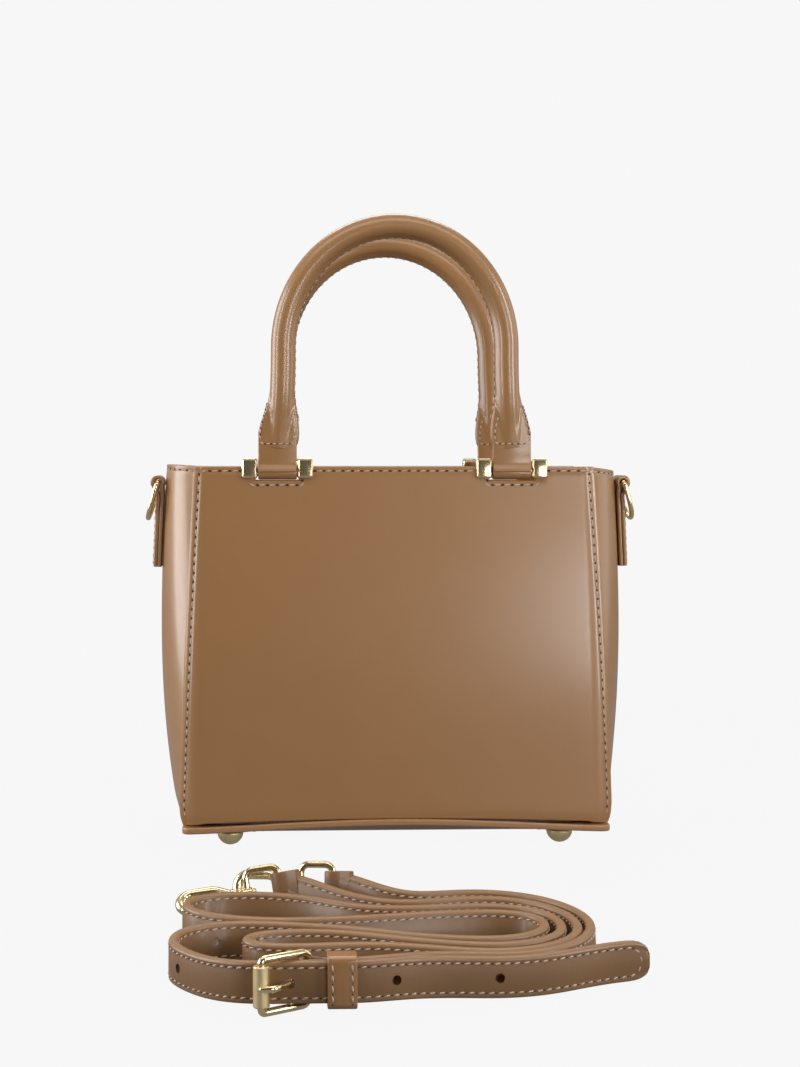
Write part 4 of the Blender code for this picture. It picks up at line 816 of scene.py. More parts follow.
GUSSET_COLUMNS = mirrored([*np.linspace(0, GUSSET_FREE_SHARE, 17), *np.linspace(GUSSET_FREE_SHARE, 1, 5)])
for name, turn, dip in (
    ("right_gusset", Matrix.Identity(3), RIGHT_GUSSET_DIP),
    ("left_gusset", HALF_TURN, GUSSET_DIP),
):
    place = partial(gusset_place, middle_dip=dip)
    bm = bent_grid(GUSSET_COLUMNS, PANEL_ROWS, place)
    bmesh.ops.transform(bm, matrix=turn.to_4x4(), verts=bm.verts)
    gusset = add_piece(name + "_leather", bm, [TAN_HIDE, PAINTED_EDGE], "bag", [name], False)
    thicken(gusset, GUSSET, 0.6 * MM)
    sewing = Sewing(name, "bag")
    top = 1 - TOP_SEAM_INSET / BODY_HEIGHT
    points, normals = surface_row(place, [(a, top) for a in np.linspace(-0.78, 0.78, 40)])
    sewing.row([turn @ p for p in points], [turn @ n for n in normals])
    sewing.finish()

# %% [markdown]
# ## Base
#
# The base is thicker leather with painted edges. Between the corners its front and back edges curl up under
# the arched seams, so its underside shows in the middle, with a row of stitches close to the edge.

# %% Bend and sew the base
FOOT_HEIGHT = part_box("foot_front_left")[1].z
BASE_LEATHER = 3.0 * MM
BASE_TOP = FOOT_HEIGHT + GAP + BASE_LEATHER
BASE_OVERHANG = 1.6 * MM
BASE_CURL = 8.0 * MM
BASE_LIP = 1.0 * MM
BASE_CORNER = 4.0 * MM
BASE_HALF_LENGTH = BASE_HALF_WIDTH - 2.0 * MM
BASE_REACH = BASE_HALF_DEPTH + BASE_OVERHANG
BASE_SEAM_INSET = 2.6 * MM


def base_place(across, along):
    """A point of the base's upper face: across and along from -1 to 1."""
    depth = along * BASE_REACH
    curl = min(max(abs(depth) - (BASE_REACH - BASE_CURL), 0) / (BASE_CURL - BASE_LIP), 1)
    rise = seam_rise(across) * curl * curl * (3 - 2 * curl)
    half = BASE_HALF_LENGTH
    wear = max(1 - min(half - abs(across) * half, BASE_REACH - abs(depth)) / EDGE_WEAR, 0)
    x, y = across * half, depth
    past_x, past_y = abs(x) - (half - BASE_CORNER), abs(y) - (BASE_REACH - BASE_CORNER)
    if past_x > 0 and past_y > 0:
        pull = max(past_x, past_y) / math.hypot(past_x, past_y)
        x = math.copysign(half - BASE_CORNER + past_x * pull, x)
        y = math.copysign(BASE_REACH - BASE_CORNER + past_y * pull, y)
    return Vector((x, y, BASE_TOP + rise)), wear


def base_under(across, along):
    """The same point on the base's underside, turned over so that its face looks down."""
    point, wear = base_place(-across, along)
    return point - Vector((0, 0, BASE_LEATHER)), wear


BASE_COLUMNS = mirrored([*np.linspace(0, 0.94, 24), *np.linspace(0.94, 1, 8)])
CURL_START_SHARE = (BASE_REACH - BASE_CURL) / BASE_REACH
BASE_ROWS = mirrored([*np.linspace(0, CURL_START_SHARE, 6), *np.linspace(CURL_START_SHARE, 1, 12)])
bm = bent_grid(BASE_COLUMNS, BASE_ROWS, base_place)
base = add_piece("base_panel_leather", bm, [TAN_HIDE, PAINTED_EDGE], "bag", ["base_panel"], False)
thicken(base, BASE_LEATHER, 0.9 * MM)
sewing = Sewing("base_panel", "bag")
for along in (-1, 1):
    inset = along * (1 - BASE_SEAM_INSET / BASE_REACH)
    sewing.row(*surface_row(base_under, [(a, inset) for a in np.linspace(-0.9, 0.9, 50)]))
sewing.finish()

# %% [markdown]
# ## Lining, pocket and board
#
# Inside hangs a woven lining, a loft of outlines that stand a little inside the leather, closed at the
# bottom. A slip pocket is sewn to its back. The weave reads two attributes, the distance round and the
# distance up, so the yarns follow the cloth.

# %% Loft the lining
LINING_THICK = 1.0 * MM
LINING_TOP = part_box("lining")[1].z
LINING_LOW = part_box("lining")[0].z
LINING_INSET = PANEL + GAP + GUSSET + 0.4 * MM
LINING_TURN_SHARES = (0.2, 0.4, 0.6, 0.8)
LINING_SIDE_SHARES = (-0.85, -0.65, -0.45, -0.22, 0, 0.22, 0.45, 0.65, 0.85)


def lining_ring(height):
    """The lining's outline seen from above, at one height."""
    share = height_share(height)
    middle_x, middle_y = edge_centre(share)
    reach = EDGE_RADIUS - LINING_INSET
    turn = edge_turn(share)
    front = [(middle_x * s, middle_y - reach) for s in (0, 0.34, 0.67, 1)]
    front += [
        (middle_x + reach * math.sin(turn * s), middle_y - reach * math.cos(turn * s)) for s in LINING_TURN_SHARES
    ]
    middle, radius, half_angle = gusset_arc(share, GUSSET + 0.4 * MM)
    side = [
        (middle + radius * math.cos(half_angle * s), radius * math.sin(half_angle * s)) for s in LINING_SIDE_SHARES
    ]
    back = [(x, -y) for x, y in reversed(front)][:-1]
    half = front + side + back
    return [(x, y, height) for x, y in half] + [(-x, -y, height) for x, y in half]


def mark_weave(bm, across, up):
    """Writes where each point lies in the cloth's own across and up."""
    weave_across, weave_up = bm.verts.layers.float.new("weave_across"), bm.verts.layers.float.new("weave_up")
    for corner in bm.verts:
        corner[weave_across] = across(corner.co)
        corner[weave_up] = up(corner.co)


rings = [lining_ring(height) for height in np.linspace(LINING_LOW, LINING_TOP, 36)]
bm = loft(bmesh.new(), rings)
bm.faces.ensure_lookup_table()
lid = [face for face in bm.faces if all(corner.co.z > LINING_TOP - GAP for corner in face.verts)]
bmesh.ops.delete(bm, geom=lid, context="FACES_ONLY")
bmesh.ops.recalc_face_normals(bm, faces=bm.faces)
if sum((face.normal.dot(Vector((*face.calc_center_median().xy, 0))) for face in bm.faces)) < 0:
    bmesh.ops.reverse_faces(bm, faces=bm.faces)
mark_weave(bm, lambda co: co.x + co.y * 0.6, lambda co: co.z)
lining = add_piece("lining_cloth", bm, [LINING, LINING], "bag", ["lining"], False)
thicken(lining, LINING_THICK, 0.3 * MM)

# %% The slip pocket and the base board
POCKET_HALF_WIDTH = 46.0 * MM
POCKET_LOW = 62.0 * MM
POCKET_HIGH = 138.0 * MM
POCKET_THICK = 0.8 * MM
POCKET_HEM = 6.0 * MM


def pocket_place(across, up):
    height = between(POCKET_LOW, POCKET_HIGH, up)
    depth = half_depth(height_share(height)) - LINING_INSET - LINING_THICK - GAP - POCKET_THICK
    from_hem = POCKET_HIGH - POCKET_HEM - height
    return Vector((across * POCKET_HALF_WIDTH, depth - 0.2 * MM * groove(from_hem), height)), 0.0


bm = bent_grid(list(np.linspace(-1, 1, 25)), list(np.linspace(0, 1, 41)), pocket_place)
mark_weave(bm, lambda co: co.x, lambda co: co.z)
pocket = add_piece("slip_pocket_cloth", bm, [LINING, LINING], "bag", ["slip_pocket"], False)
thicken(pocket, POCKET_THICK, 0.25 * MM)
sewing = Sewing("slip_pocket", "bag")
hem = 1 - POCKET_HEM / (POCKET_HIGH - POCKET_LOW)
sewing.row(*surface_row(pocket_place, [(a, hem) for a in np.linspace(-0.97, 0.97, 20)]), pitch=3.4 * MM)
edge_line = [(-0.97, 0.98), (-0.97, 0.03), (0.97, 0.03), (0.97, 0.98)]
sewing.row(*surface_row(pocket_place, edge_line), pitch=3.4 * MM)
sewing.finish()
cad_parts["base_board"].data.materials.clear()
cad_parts["base_board"].data.materials.append(BOARD_COVER)

# %% [markdown]
# ## Feet and snap
#
# Turned metal is one profile and a spin. The feet are low domes with a short neck against the base. The
# magnetic snap is a pair of discs, one with a well and one with a nub.

# %% Turn the feet and the snap
FOOT_RADIUS = 6.3 * MM
FOOT_FLAT_ANGLE = math.radians(16)
FOOT_DOME_SHARE = 0.84
FOOT_NECK_SHARE = 0.72
FOOT_PLACES = {
    "front_left": (-79.4, -36), "front_right": (79.4, -36), "back_left": (-79.4, 36), "back_right": (79.4, 36),
}
SNAP_RADIUS = 7.0 * MM
SNAP_HEIGHT = 164.0 * MM


def foot_profile():
    dome = FOOT_HEIGHT * FOOT_DOME_SHARE
    drop = math.cos(FOOT_FLAT_ANGLE)
    profile = [(0, 0)]
    for angle in np.linspace(FOOT_FLAT_ANGLE, math.pi / 2, 14):
        profile.append((FOOT_RADIUS * math.sin(angle), dome * (drop - math.cos(angle)) / drop))
    neck = FOOT_RADIUS * FOOT_NECK_SHARE
    return profile + [(FOOT_RADIUS * 0.97, dome + 0.25 * MM), (neck, dome + 0.3 * MM), (neck, FOOT_HEIGHT), (0, FOOT_HEIGHT)]


for name, (x, y) in FOOT_PLACES.items():
    bm = turned(foot_profile(), Matrix.Translation((x * MM, y * MM, 0)))
    add_piece("dome_foot_" + name, bm, [SATIN_GOLD], "bag", ["foot_" + name])


def snap_profile(kind):
    """The socket has a well in its middle, the stud a nub."""
    rim, soft = SNAP_RADIUS, 0.4 * MM
    if kind == "socket":
        return [
            (0, 0), (rim, 0), (rim, 2.8 * MM - soft), (rim - soft, 2.8 * MM), (3.6 * MM, 2.8 * MM),
            (3.2 * MM, 2.5 * MM), (3.2 * MM, 1.3 * MM), (0, 1.3 * MM),
        ]
    return [
        (0, 0), (rim, 0), (rim, 1.6 * MM - soft), (rim - soft, 1.6 * MM), (2.7 * MM, 1.6 * MM),
        (2.7 * MM, 3.1 * MM - soft), (2.7 * MM - soft, 3.1 * MM), (0, 3.1 * MM),
    ]


snap_seat = half_depth(height_share(SNAP_HEIGHT)) - (PANEL + GAP) / math.cos(WALL_LEAN)
for kind, facing in (("socket", -1), ("stud", 1)):
    lean = Matrix.Rotation(facing * (math.pi / 2 + WALL_LEAN), 4, "X")
    bm = turned(snap_profile(kind), Matrix.Translation((0, facing * snap_seat, SNAP_HEIGHT)) @ lean)
    add_piece("magnetic_" + kind, bm, [BRUSHED_GOLD], "bag", ["snap_" + kind])

# %% [markdown]
# ## Handle brackets
#
# Two polished blocks sit astride the rim beside each tab, with a bar between them that the tab goes round.
# The frame's own solids have the right shape, so a copy of each is cleaned: its loose triangles are merged,
# flat faces are joined, and every edge gets a fine bevel that catches the light.

# %% Soften the brackets
def softened_copy(node, name, width, body, materials):
    bm = bmesh.new()
    bm.from_mesh(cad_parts[node].data)
    bmesh.ops.remove_doubles(bm, verts=bm.verts, dist=0.005 * MM)
    bmesh.ops.dissolve_limit(bm, angle_limit=math.radians(1), verts=bm.verts, edges=bm.edges)
    sharp = [edge for edge in bm.edges if edge.is_manifold and edge.calc_face_angle() > math.radians(30)]
    bmesh.ops.bevel(
        bm, geom=sharp, offset=width, offset_type="OFFSET", segments=2, profile=0.5, affect="EDGES", material=-1,
        clamp_overlap=True,
    )
    return add_piece(name, bm, materials, body, [node])


for end in ("front", "back"):
    for side in ("left", "right"):
        softened_copy(f"bracket_{end}_{side}", f"{end}_{side}_handle_bracket", 0.16 * MM, "bag", [GOLD])

# %% [markdown]
# ## Handles
#
# A handle is leather rolled round a cord, its edges sewn together on the inner side of the arch. Towards its
# ends the roll opens into a flat tongue, stitched round to the tab that carries it. The section at each
# height is a roll with a flange on both sides, and the flange is nothing on the round part.

# %% The grip's path and section
HANDLE_RISE = 124.2 * MM
GRIP_RADIUS = 5.6 * MM
GRIP_LOW = 12.2 * MM
GRIP_LEG_TOP = 60.0 * MM
GRIP_ARCH_HALF_SPAN = 54.0 * MM
FLARE_HEIGHTS = np.array((0.0, 1.4, 4.5, 9.0, 14.0, 20.0, 27.0)) * MM
FLARE_WIDTH_SHARES = (0.78, 0.92, 1.0, 0.98, 0.86, 0.68, 0.566)
FLARE_ROLL_SHARES = (0.74, 0.76, 0.78, 0.8, 0.88, 0.97, 1.0)
FLARE_DEPTH_SHARES = (0.36, 0.42, 0.5, 0.6, 0.74, 0.9, 1.0)
FLARE_HALF_WIDTH = 9.9 * MM
FLANGE = 1.9 * MM
SEAM_RIDGE = 0.55 * MM
SEAM_RIDGE_HALF = 1.9 * MM
GRIP_SIDES = 40
BACK_HANDLE_LEAN = math.radians(7)


def grip_path():
    """Places and directions along the grip's middle line, from its left end to its right end."""
    rises = np.concatenate([np.linspace(0, 27 * MM, 28), np.linspace(30 * MM, GRIP_LEG_TOP - GRIP_LOW - 3 * MM, 6)])
    rise = HANDLE_RISE - GRIP_RADIUS - GRIP_LEG_TOP
    left = []
    for height in rises + GRIP_LOW:
        share = (height - GRIP_LOW) / (GRIP_LEG_TOP - GRIP_LOW)
        left.append(Vector((-between(TAB_SPAN / 2, GRIP_ARCH_HALF_SPAN, share * (2 - share)), 0, height)))
    arch = [
        Vector((-GRIP_ARCH_HALF_SPAN * math.cos(angle), 0, GRIP_LEG_TOP + rise * math.sin(angle)))
        for angle in np.linspace(0, math.pi, 61)
    ]
    places = left + arch + [Vector((-place.x, 0, place.z)) for place in reversed(left)]
    directions = []
    for index in range(len(places)):
        before, after = places[max(index - 1, 0)], places[min(index + 1, len(places) - 1)]
        directions.append((after - before).normalized())
    return places, directions


def grip_sizes(height):
    """Half width, the roll's half width and depth, and the flange's half depth, above the flare's end."""
    reach = 1.5 * MM
    wide = FLARE_HALF_WIDTH * eased(height, FLARE_HEIGHTS, FLARE_WIDTH_SHARES, min(reach, height))
    roll = GRIP_RADIUS * eased(height, FLARE_HEIGHTS, FLARE_ROLL_SHARES, reach)
    deep = GRIP_RADIUS * eased(height, FLARE_HEIGHTS, FLARE_DEPTH_SHARES, reach)
    flange = FLANGE * min(max((wide - roll) / (2 * MM), 0), 1)
    return max(wide, roll), roll, deep, flange


def grip_depth(x, height):
    """How far the grip's face stands out from its middle plane, at an offset from its middle line."""
    wide, roll, deep, flange = grip_sizes(height)
    bulge = deep * math.sqrt(max(1 - (x / roll) ** 2, 0))
    edge = flange * math.sqrt(max(1 - abs(x / wide) ** 9, 0))
    return (bulge ** 4 + edge ** 4) ** 0.25


def grip_section(place, direction):
    """A ring of points round the grip. Its first point is on the inner side of the arch."""
    inward = Vector((direction.z, 0, -direction.x))
    height = place.z - GRIP_LOW
    wide = grip_sizes(height)[0]
    fade = min(max((height - 9 * MM) / (9 * MM), 0), 1)
    ring = []
    for index in range(GRIP_SIDES):
        angle = math.tau * index / GRIP_SIDES
        x = wide * math.cos(angle)
        deep = math.copysign(grip_depth(x, height), math.sin(angle)) if index % (GRIP_SIDES // 2) else 0
        ridge = SEAM_RIDGE * fade * math.exp(-((deep / SEAM_RIDGE_HALF) ** 4)) if x > 0 else 0
        ring.append(place + inward * (x + ridge) + Vector((0, 1, 0)) * deep)
    return ring


# %% [markdown]
# Each tab is a folded strip: down in front of the bar, round it and up behind, its ends held in the flare.
# A second, thinner facing lies on the front of it and ends in a crease at the bar.

# %% Build the handles
BAR_RADIUS = 1.5 * MM
TAB_LAYER = 1.2 * MM
BORE_GAP = 0.35 * MM
FACING = 0.65 * MM


def folded_path(bar_radius, layer, neck, offset=0.0):
    """The middle line of a strip folded round a bar, in a plane: (outward, away from the bar) points."""
    ring = bar_radius + BORE_GAP + layer / 2
    half = layer / 2
    shoulder = ring + layer
    path = [(offset - half, height) for height in np.linspace(neck, shoulder + abs(offset), 8)]
    path += arc((0, 0), ring, math.pi - math.radians(35), math.tau + math.radians(35), 24)
    path += [(offset + half, height) for height in np.linspace(shoulder + abs(offset), neck, 8)]
    return path


def folded_strip(path, matrix, half_wide, layer, corner):
    """Carries a flat rounded section along a folded path, and puts it in its place."""
    section = band_section(layer / 2 - 0.04 * MM, half_wide, min(corner, layer * 0.42))
    bm = flat_sweep([(x, y, 0) for x, y in path], (0, 0, 1), section)
    bmesh.ops.transform(bm, matrix=matrix, verts=bm.verts)
    return bm


def flare_rows(side):
    """The stitched U of one flare: points on its face from one shoulder down, across and up."""
    inset = 1.5 * MM
    heights = np.linspace(21 * MM, 2.6 * MM, 14)
    left = [(-(grip_sizes(h)[0] - inset), h) for h in heights]
    bottom = [(x, 1.9 * MM) for x in np.linspace(left[-1][0] + MM, -left[-1][0] - MM, 6)]
    line = left + bottom + [(-x, h) for x, h in reversed(left)]
    points, normals = [], []
    for x, height in line:
        deep = grip_depth(x, height)
        slope = (grip_depth(x + 0.2 * MM, height) - grip_depth(x - 0.2 * MM, height)) / (0.4 * MM)
        points.append(Vector((x, side * deep, GRIP_LOW + height)))
        normals.append(Vector((-slope, side, 0)).normalized())
    return points, normals


def make_handle(end, body, matrix):
    places, directions = grip_path()
    bm = loft(bmesh.new(), [grip_section(place, direction) for place, direction in zip(places, directions)])
    bmesh.ops.transform(bm, matrix=matrix, verts=bm.verts)
    grip = add_piece(end + "_rolled_grip", bm, [TAN_HIDE], body, [end + "_handle_grip"])
    soften = grip.modifiers.new("soft ends", "BEVEL")
    soften.width = 0.5 * MM
    soften.segments = 3
    soften.angle_limit = math.radians(60)
    turn = matrix.to_3x3()
    sewing = Sewing(end + "_handle", body)
    inner, facing = [], []
    for place, direction in zip(places[14:-14], directions[14:-14]):
        inward = Vector((direction.z, 0, -direction.x))
        wide = grip_sizes(place.z - GRIP_LOW)[0]
        inner.append(matrix @ (place + inward * (wide + SEAM_RIDGE)))
        facing.append(turn @ inward)
    sewing.row(inner, facing, pitch=3.9 * MM)
    for label, x in (("left", -TAB_SPAN / 2), ("right", TAB_SPAN / 2)):
        shift = Matrix.Translation((x, 0, 0))
        for side in (-1, 1):
            points, normals = flare_rows(side)
            sewing.row([matrix @ shift @ p for p in points], [turn @ n for n in normals], pitch=2.9 * MM)
        node = end + "_handle_tab_" + label
        neck = GRIP_LOW + 8 * MM
        stand = matrix @ axes((x, 0, 0), (0, 1, 0), (0, 0, 1), (1, 0, 0))
        bm = folded_strip(folded_path(BAR_RADIUS, TAB_LAYER, neck), stand, TAB_WIDTH / 2, TAB_LAYER, 0.5 * MM)
        add_piece(node + "_strip", bm, [TAN_HIDE], body, [node])
        front = BAR_RADIUS + BORE_GAP + TAB_LAYER
        facing_path = [
            (-(TAB_LAYER + FACING / 2 + 0.05 * MM), neck - 2 * MM),
            (-(TAB_LAYER + FACING / 2 + 0.05 * MM), GRIP_LOW - 1 * MM),
            (-(TAB_LAYER + FACING / 2 + 0.05 * MM), 4.7 * MM), (-(front * 0.82 + FACING / 2), 2.3 * MM),
            (-(front + FACING / 2 + 0.03 * MM), 0.8 * MM),
        ]
        bm = folded_strip(smooth_line(facing_path, 10), stand, TAB_WIDTH / 2 - 0.2 * MM, FACING, 0.25 * MM)
        add_piece(node + "_facing", bm, [TAN_HIDE], body)
    sewing.finish()


def smooth_line(points, steps):
    """A curve through a few points: each stretch bends by its neighbours."""
    points = np.array(points, float)
    padded = np.vstack([2 * points[0] - points[1], points, 2 * points[-1] - points[-2]])
    line = []
    for index in range(1, len(padded) - 2):
        a, b, c, d = padded[index - 1:index + 3]
        for t in np.linspace(0, 1, steps, endpoint=False):
            line.append(tuple(0.5 * (2 * b + (c - a) * t + (2 * a - 5 * b + 4 * c - d) * t ** 2 + (3 * b - a - 3 * c + d) * t ** 3)))
    return line + [tuple(points[-1])]


bar_depth = half_depth(height_share(BAR_HEIGHT)) - PANEL / 2 / math.cos(WALL_LEAN)
for end, depth, lean in (("front", -bar_depth, 0.0), ("back", bar_depth, BACK_HANDLE_LEAN)):
    pivot = Matrix.Translation((0, depth, BAR_HEIGHT)) @ Matrix.Rotation(-lean, 4, "X")
    make_handle(end, end + "_handle", pivot)

# %% [markdown]
# ## Side tabs and D rings
#
# A short strip folded round a bar hangs on each gusset and holds a D ring. The ring is a round wire bent
# along a straight bar and a half circle.

# %% Fold the side tabs and bend the rings
SIDE_TAB_WIDTH = 14.5 * MM
SIDE_TAB_LAYER = 2.0 * MM
SIDE_TAB_LOW = 131.5 * MM
RING_BAR_HEIGHT = 173.0 * MM
RING_WIRE = 1.2 * MM
RING_BORE = 0.3 * MM
RING_HALF_WIDTH = 9.4 * MM
RING_SIDE = 9.0 * MM
RING_CORNER = 2.0 * MM
RING_LEAN = math.radians(16)
middle, radius, _ = gusset_arc(height_share(RING_BAR_HEIGHT))
TAB_OUTER = RING_WIRE + RING_BORE + SIDE_TAB_LAYER
RING_BAR_OUT = middle + radius + GAP + TAB_OUTER
middle, radius, _ = gusset_arc(height_share(SIDE_TAB_LOW))
TAB_SLOPE = math.atan2(middle + radius + GAP + TAB_OUTER - RING_BAR_OUT, RING_BAR_HEIGHT - SIDE_TAB_LOW)


def make_side(label, sign):
    centre = Vector((sign * RING_BAR_OUT, 0, RING_BAR_HEIGHT))
    down = Vector((sign * math.sin(TAB_SLOPE), 0, -math.cos(TAB_SLOPE)))
    across = Vector((sign * math.cos(TAB_SLOPE), 0, math.sin(TAB_SLOPE)))
    stand = axes(centre, across, down, across.cross(down))
    neck = (RING_BAR_HEIGHT - SIDE_TAB_LOW) / math.cos(TAB_SLOPE)
    offset = SIDE_TAB_LAYER - TAB_OUTER
    path = folded_path(RING_WIRE, SIDE_TAB_LAYER, neck, offset)
    bm = folded_strip(path, stand, SIDE_TAB_WIDTH / 2, SIDE_TAB_LAYER, 0.7 * MM)
    add_piece("side_tab_strip_" + label, bm, [TAN_HIDE], "bag", ["side_tab_" + label])
    sewing = Sewing("side_tab_" + label, "bag")
    face = offset + SIDE_TAB_LAYER
    half = SIDE_TAB_WIDTH / 2 - 2 * MM
    line = [(-half, 8 * MM), (-half, neck - 2 * MM), (half, neck - 2 * MM), (half, 8 * MM), (-half, 8 * MM)]
    points = [stand @ Vector((face, y, z)) for z, y in line]
    sewing.row(points, [across] * len(points), pitch=3.6 * MM)
    sewing.finish()
    half = RING_HALF_WIDTH
    outline = arc((half - RING_CORNER, -RING_CORNER), RING_CORNER, math.pi / 2, 0, 5)
    outline += arc((0, -RING_SIDE), half, 0, -math.pi, 36)
    outline += arc((RING_CORNER - half, -RING_CORNER), RING_CORNER, math.pi, math.pi / 2, 5)
    below = Vector((sign * math.sin(RING_LEAN), 0, -math.cos(RING_LEAN)))
    path = [centre + Vector((0, 1, 0)) * along - below * drop for along, drop in outline]
    bm = flat_sweep(path, below.cross(Vector((0, 1, 0))), round_section(RING_WIRE), closed=True)
    add_piece(label + "_ring_wire", bm, [GOLD], label + "_ring", [label + "_d_ring"])


make_side("left", -1)
make_side("right", 1)

# %% [markdown]
# ## The shoulder strap
#
# The strap lies coiled on the floor in front of the bag. It has two lengths: a long one with holes, and a
# short one that carries the buckle. Each follows a smooth curve through listed points: x, y and the
# lift of its lower edge above the floor, in millimetres. It stands on its edge and leans back a little.

# %% The routes of the two lengths
STRAP_WIDTH = 14.0 * MM
STRAP_THICKNESS = 3.6 * MM
HALF_STRAP = STRAP_WIDTH / 2
LONG_ROUTE = (
    (74, -250, 0), (62, -253.5, 0), (50, -258.7, 0), (36, -265.4, 0), (20, -269.4, 0.2), (4, -271, 0.9),
    (-9, -274.3, 1.9), (-20, -279.8, 3.1), (-30.5, -282.75, 3.5), (-36, -282.9, 3.5), (-42, -282.9, 3.5),
    (-54, -282.9, 3.5), (-64, -282.7, 3.5), (-73, -278.9, 2.8), (-81.5, -270.4, 1.5), (-89, -259, 0.4), (-94.5, -246.5, 0),
    (-93, -233.3, 0), (-83.5, -224.3, 0), (-71, -221.4, 0), (-58, -222.8, 0), (-45.8, -225.3, 0),
    (-33.7, -228.6, 0), (-21.6, -233.2, 0), (-9.4, -238.3, 0), (3.7, -242.2, 0), (16.9, -244, 0),
    (29, -242, 0), (38.1, -234.9, 0), (41.2, -224.8, 0), (38.1, -215.1, 0), (29, -209.9, 0),
    (14.9, -209.1, 0), (0.7, -210.6, 0), (-13.5, -213.1, 0), (-27.6, -215.4, 0), (-41.8, -216.9, 0),
    (-55.9, -217.3, 0), (-69.1, -215.3, 0), (-81.2, -210.4, 0), (-89.8, -202.5, 0), (-92.4, -192.9, 0),
    (-87.6, -184.6, 0), (-77.6, -180.4, 0), (-66.1, -180, 0), (-53.9, -182.8, 0), (-42.8, -188.2, 0),
    (-32.4, -195.4, 0), (-21.6, -200.6, 0), (-9.4, -202, 0), (4.7, -201, 0), (18.9, -199.8, 0),
    (31, -201.8, 0), (40.7, -208.1, 0), (46, -217.7, 0), (47, -228.8, 0), (43.2, -239.9, 0),
    (34.1, -248, 0), (20.9, -251.5, 0), (6.8, -249.7, 0), (-8.4, -244.8, 0), (-21.6, -239.4, 0),
    (-33.7, -235, 0), (-45.8, -233, 0), (-58, -233.8, 0), (-66.1, -237.4, 0), (-68.6, -243, 0),
    (-65, -248.2, 0), (-57, -250.7, 0), (-45.8, -250.9, 0), (-33.7, -250, 0), (-21.6, -250.2, 0),
    (-8.4, -252.9, 0), (5.8, -257.1, 0), (18.9, -259.2, 0), (32.1, -256.6, 0), (43.7, -249, 0),
    (51.1, -237.4, 0), (53.1, -224.8, 0), (50.8, -211.6, 0), (44.2, -200, 0), (34.1, -192.2, 0),
    (21.9, -189.4, 0), (9.8, -190.6, 0), (-2.3, -193, 0), (-13.5, -192.4, 0), (-24.6, -187.8, 0.6),
    (-35, -181.2, 1.9), (-45.5, -174, 3.9), (-56, -167, 5),
)
SHORT_ROUTE = (
    (-42.6, -278.65, 3.2), (-36.5, -278.65, 3.2), (-30.5, -278.3, 3.2), (-20, -274.8, 2.8), (-9, -269, 1.8),
    (4, -265.2, 0.8), (17, -264.2, 0.2), (25, -263.2, 0), (32, -261.4, 0), (38.5, -258.7, 0),
    (44.8, -254, 0), (50.4, -247.4, 0), (54.8, -239.4, 0), (57.6, -230, 0),
    (57.9, -216.7, 0), (53.8, -203, 0), (45.7, -190.9, 0), (33.6, -182.6, 0), (19.5, -179.6, 0),
    (6, -181, 0), (-5.5, -181.6, 0.4), (-15.4, -177.6, 1.6), (-25, -170.6, 3.2), (-35, -163, 4.3),
)
LONG_LEANS = ((0 * MM, 4), (185 * MM, 4), (230 * MM, 15))
SHORT_LEANS = ((0 * MM, 4), (50 * MM, 4), (110 * MM, 15))
ROUTE_SAMPLE = 0.5 * MM


# %% A curve through the points
class Route:
    """A natural cubic spline through the points, read by the distance along it."""

    def __init__(self, points, leans):
        self.leans = leans
        knots = np.array(points) * MM
        flat = np.linalg.norm(np.diff(knots, axis=0), axis=1)
        for knot, distance in zip(knots, np.concatenate([[0], np.cumsum(flat)])):
            knot[2] += HALF_STRAP * self.up(distance).z
        stations = np.concatenate([[0], np.cumsum(np.linalg.norm(np.diff(knots, axis=0), axis=1))])
        spans = np.diff(stations)
        count = len(knots)
        system, right_side = np.eye(count), np.zeros((count, 3))
        for i in range(1, count - 1):
            system[i, i - 1:i + 2] = spans[i - 1], 2 * (spans[i - 1] + spans[i]), spans[i]
            right_side[i] = 6 * ((knots[i + 1] - knots[i]) / spans[i] - (knots[i] - knots[i - 1]) / spans[i - 1])
        bends = np.linalg.solve(system, right_side)
        fine = np.linspace(0, stations[-1], int(stations[-1] / ROUTE_SAMPLE) + 1)
        span = np.clip(np.searchsorted(stations, fine, side="right") - 1, 0, count - 2)
        width = spans[span][:, None]
        after = (fine - stations[span])[:, None]
        left = width - after
        self.points = (
            bends[span] * left ** 3 + bends[span + 1] * after ** 3
        ) / (6 * width) + (knots[span] / width - bends[span] * width / 6) * left + (
            knots[span + 1] / width - bends[span + 1] * width / 6
        ) * after
        steps = np.linalg.norm(np.diff(self.points, axis=0), axis=1)
        self.distances = np.concatenate([[0], np.cumsum(steps)])
        self.length = float(self.distances[-1])

    def at(self, distance):
        """The place and the level direction at a distance along the route, also just past its ends."""
        inside = min(max(distance, 0), self.length)
        index = int(np.clip(np.searchsorted(self.distances, inside), 1, len(self.points) - 1))
        step = self.points[index] - self.points[index - 1]
        share = (inside - self.distances[index - 1]) / (self.distances[index] - self.distances[index - 1])
        heading = Vector((step[0], step[1], 0)).normalized()
        return Vector(self.points[index - 1] + step * share) + heading * (distance - inside), heading

    def up(self, distance):
        """The direction of the strap's width, from its lower edge to its upper one."""
        lean = math.radians(float(np.interp(distance, *zip(*self.leans))))
        return Vector((0, math.sin(lean), math.cos(lean)))

    def placed(self, along, out, up):
        """A point of the flat strap, carried to where it lies: along it, out of its face, and up its width."""
        place, heading = self.at(along)
        return place + heading.cross(Vector((0, 0, 1))) * out + self.up(along) * up


LONG, SHORT = Route(LONG_ROUTE, LONG_LEANS), Route(SHORT_ROUTE, SHORT_LEANS)
print("long strap", round(LONG.length / MM), "mm, short strap", round(SHORT.length / MM), "mm")

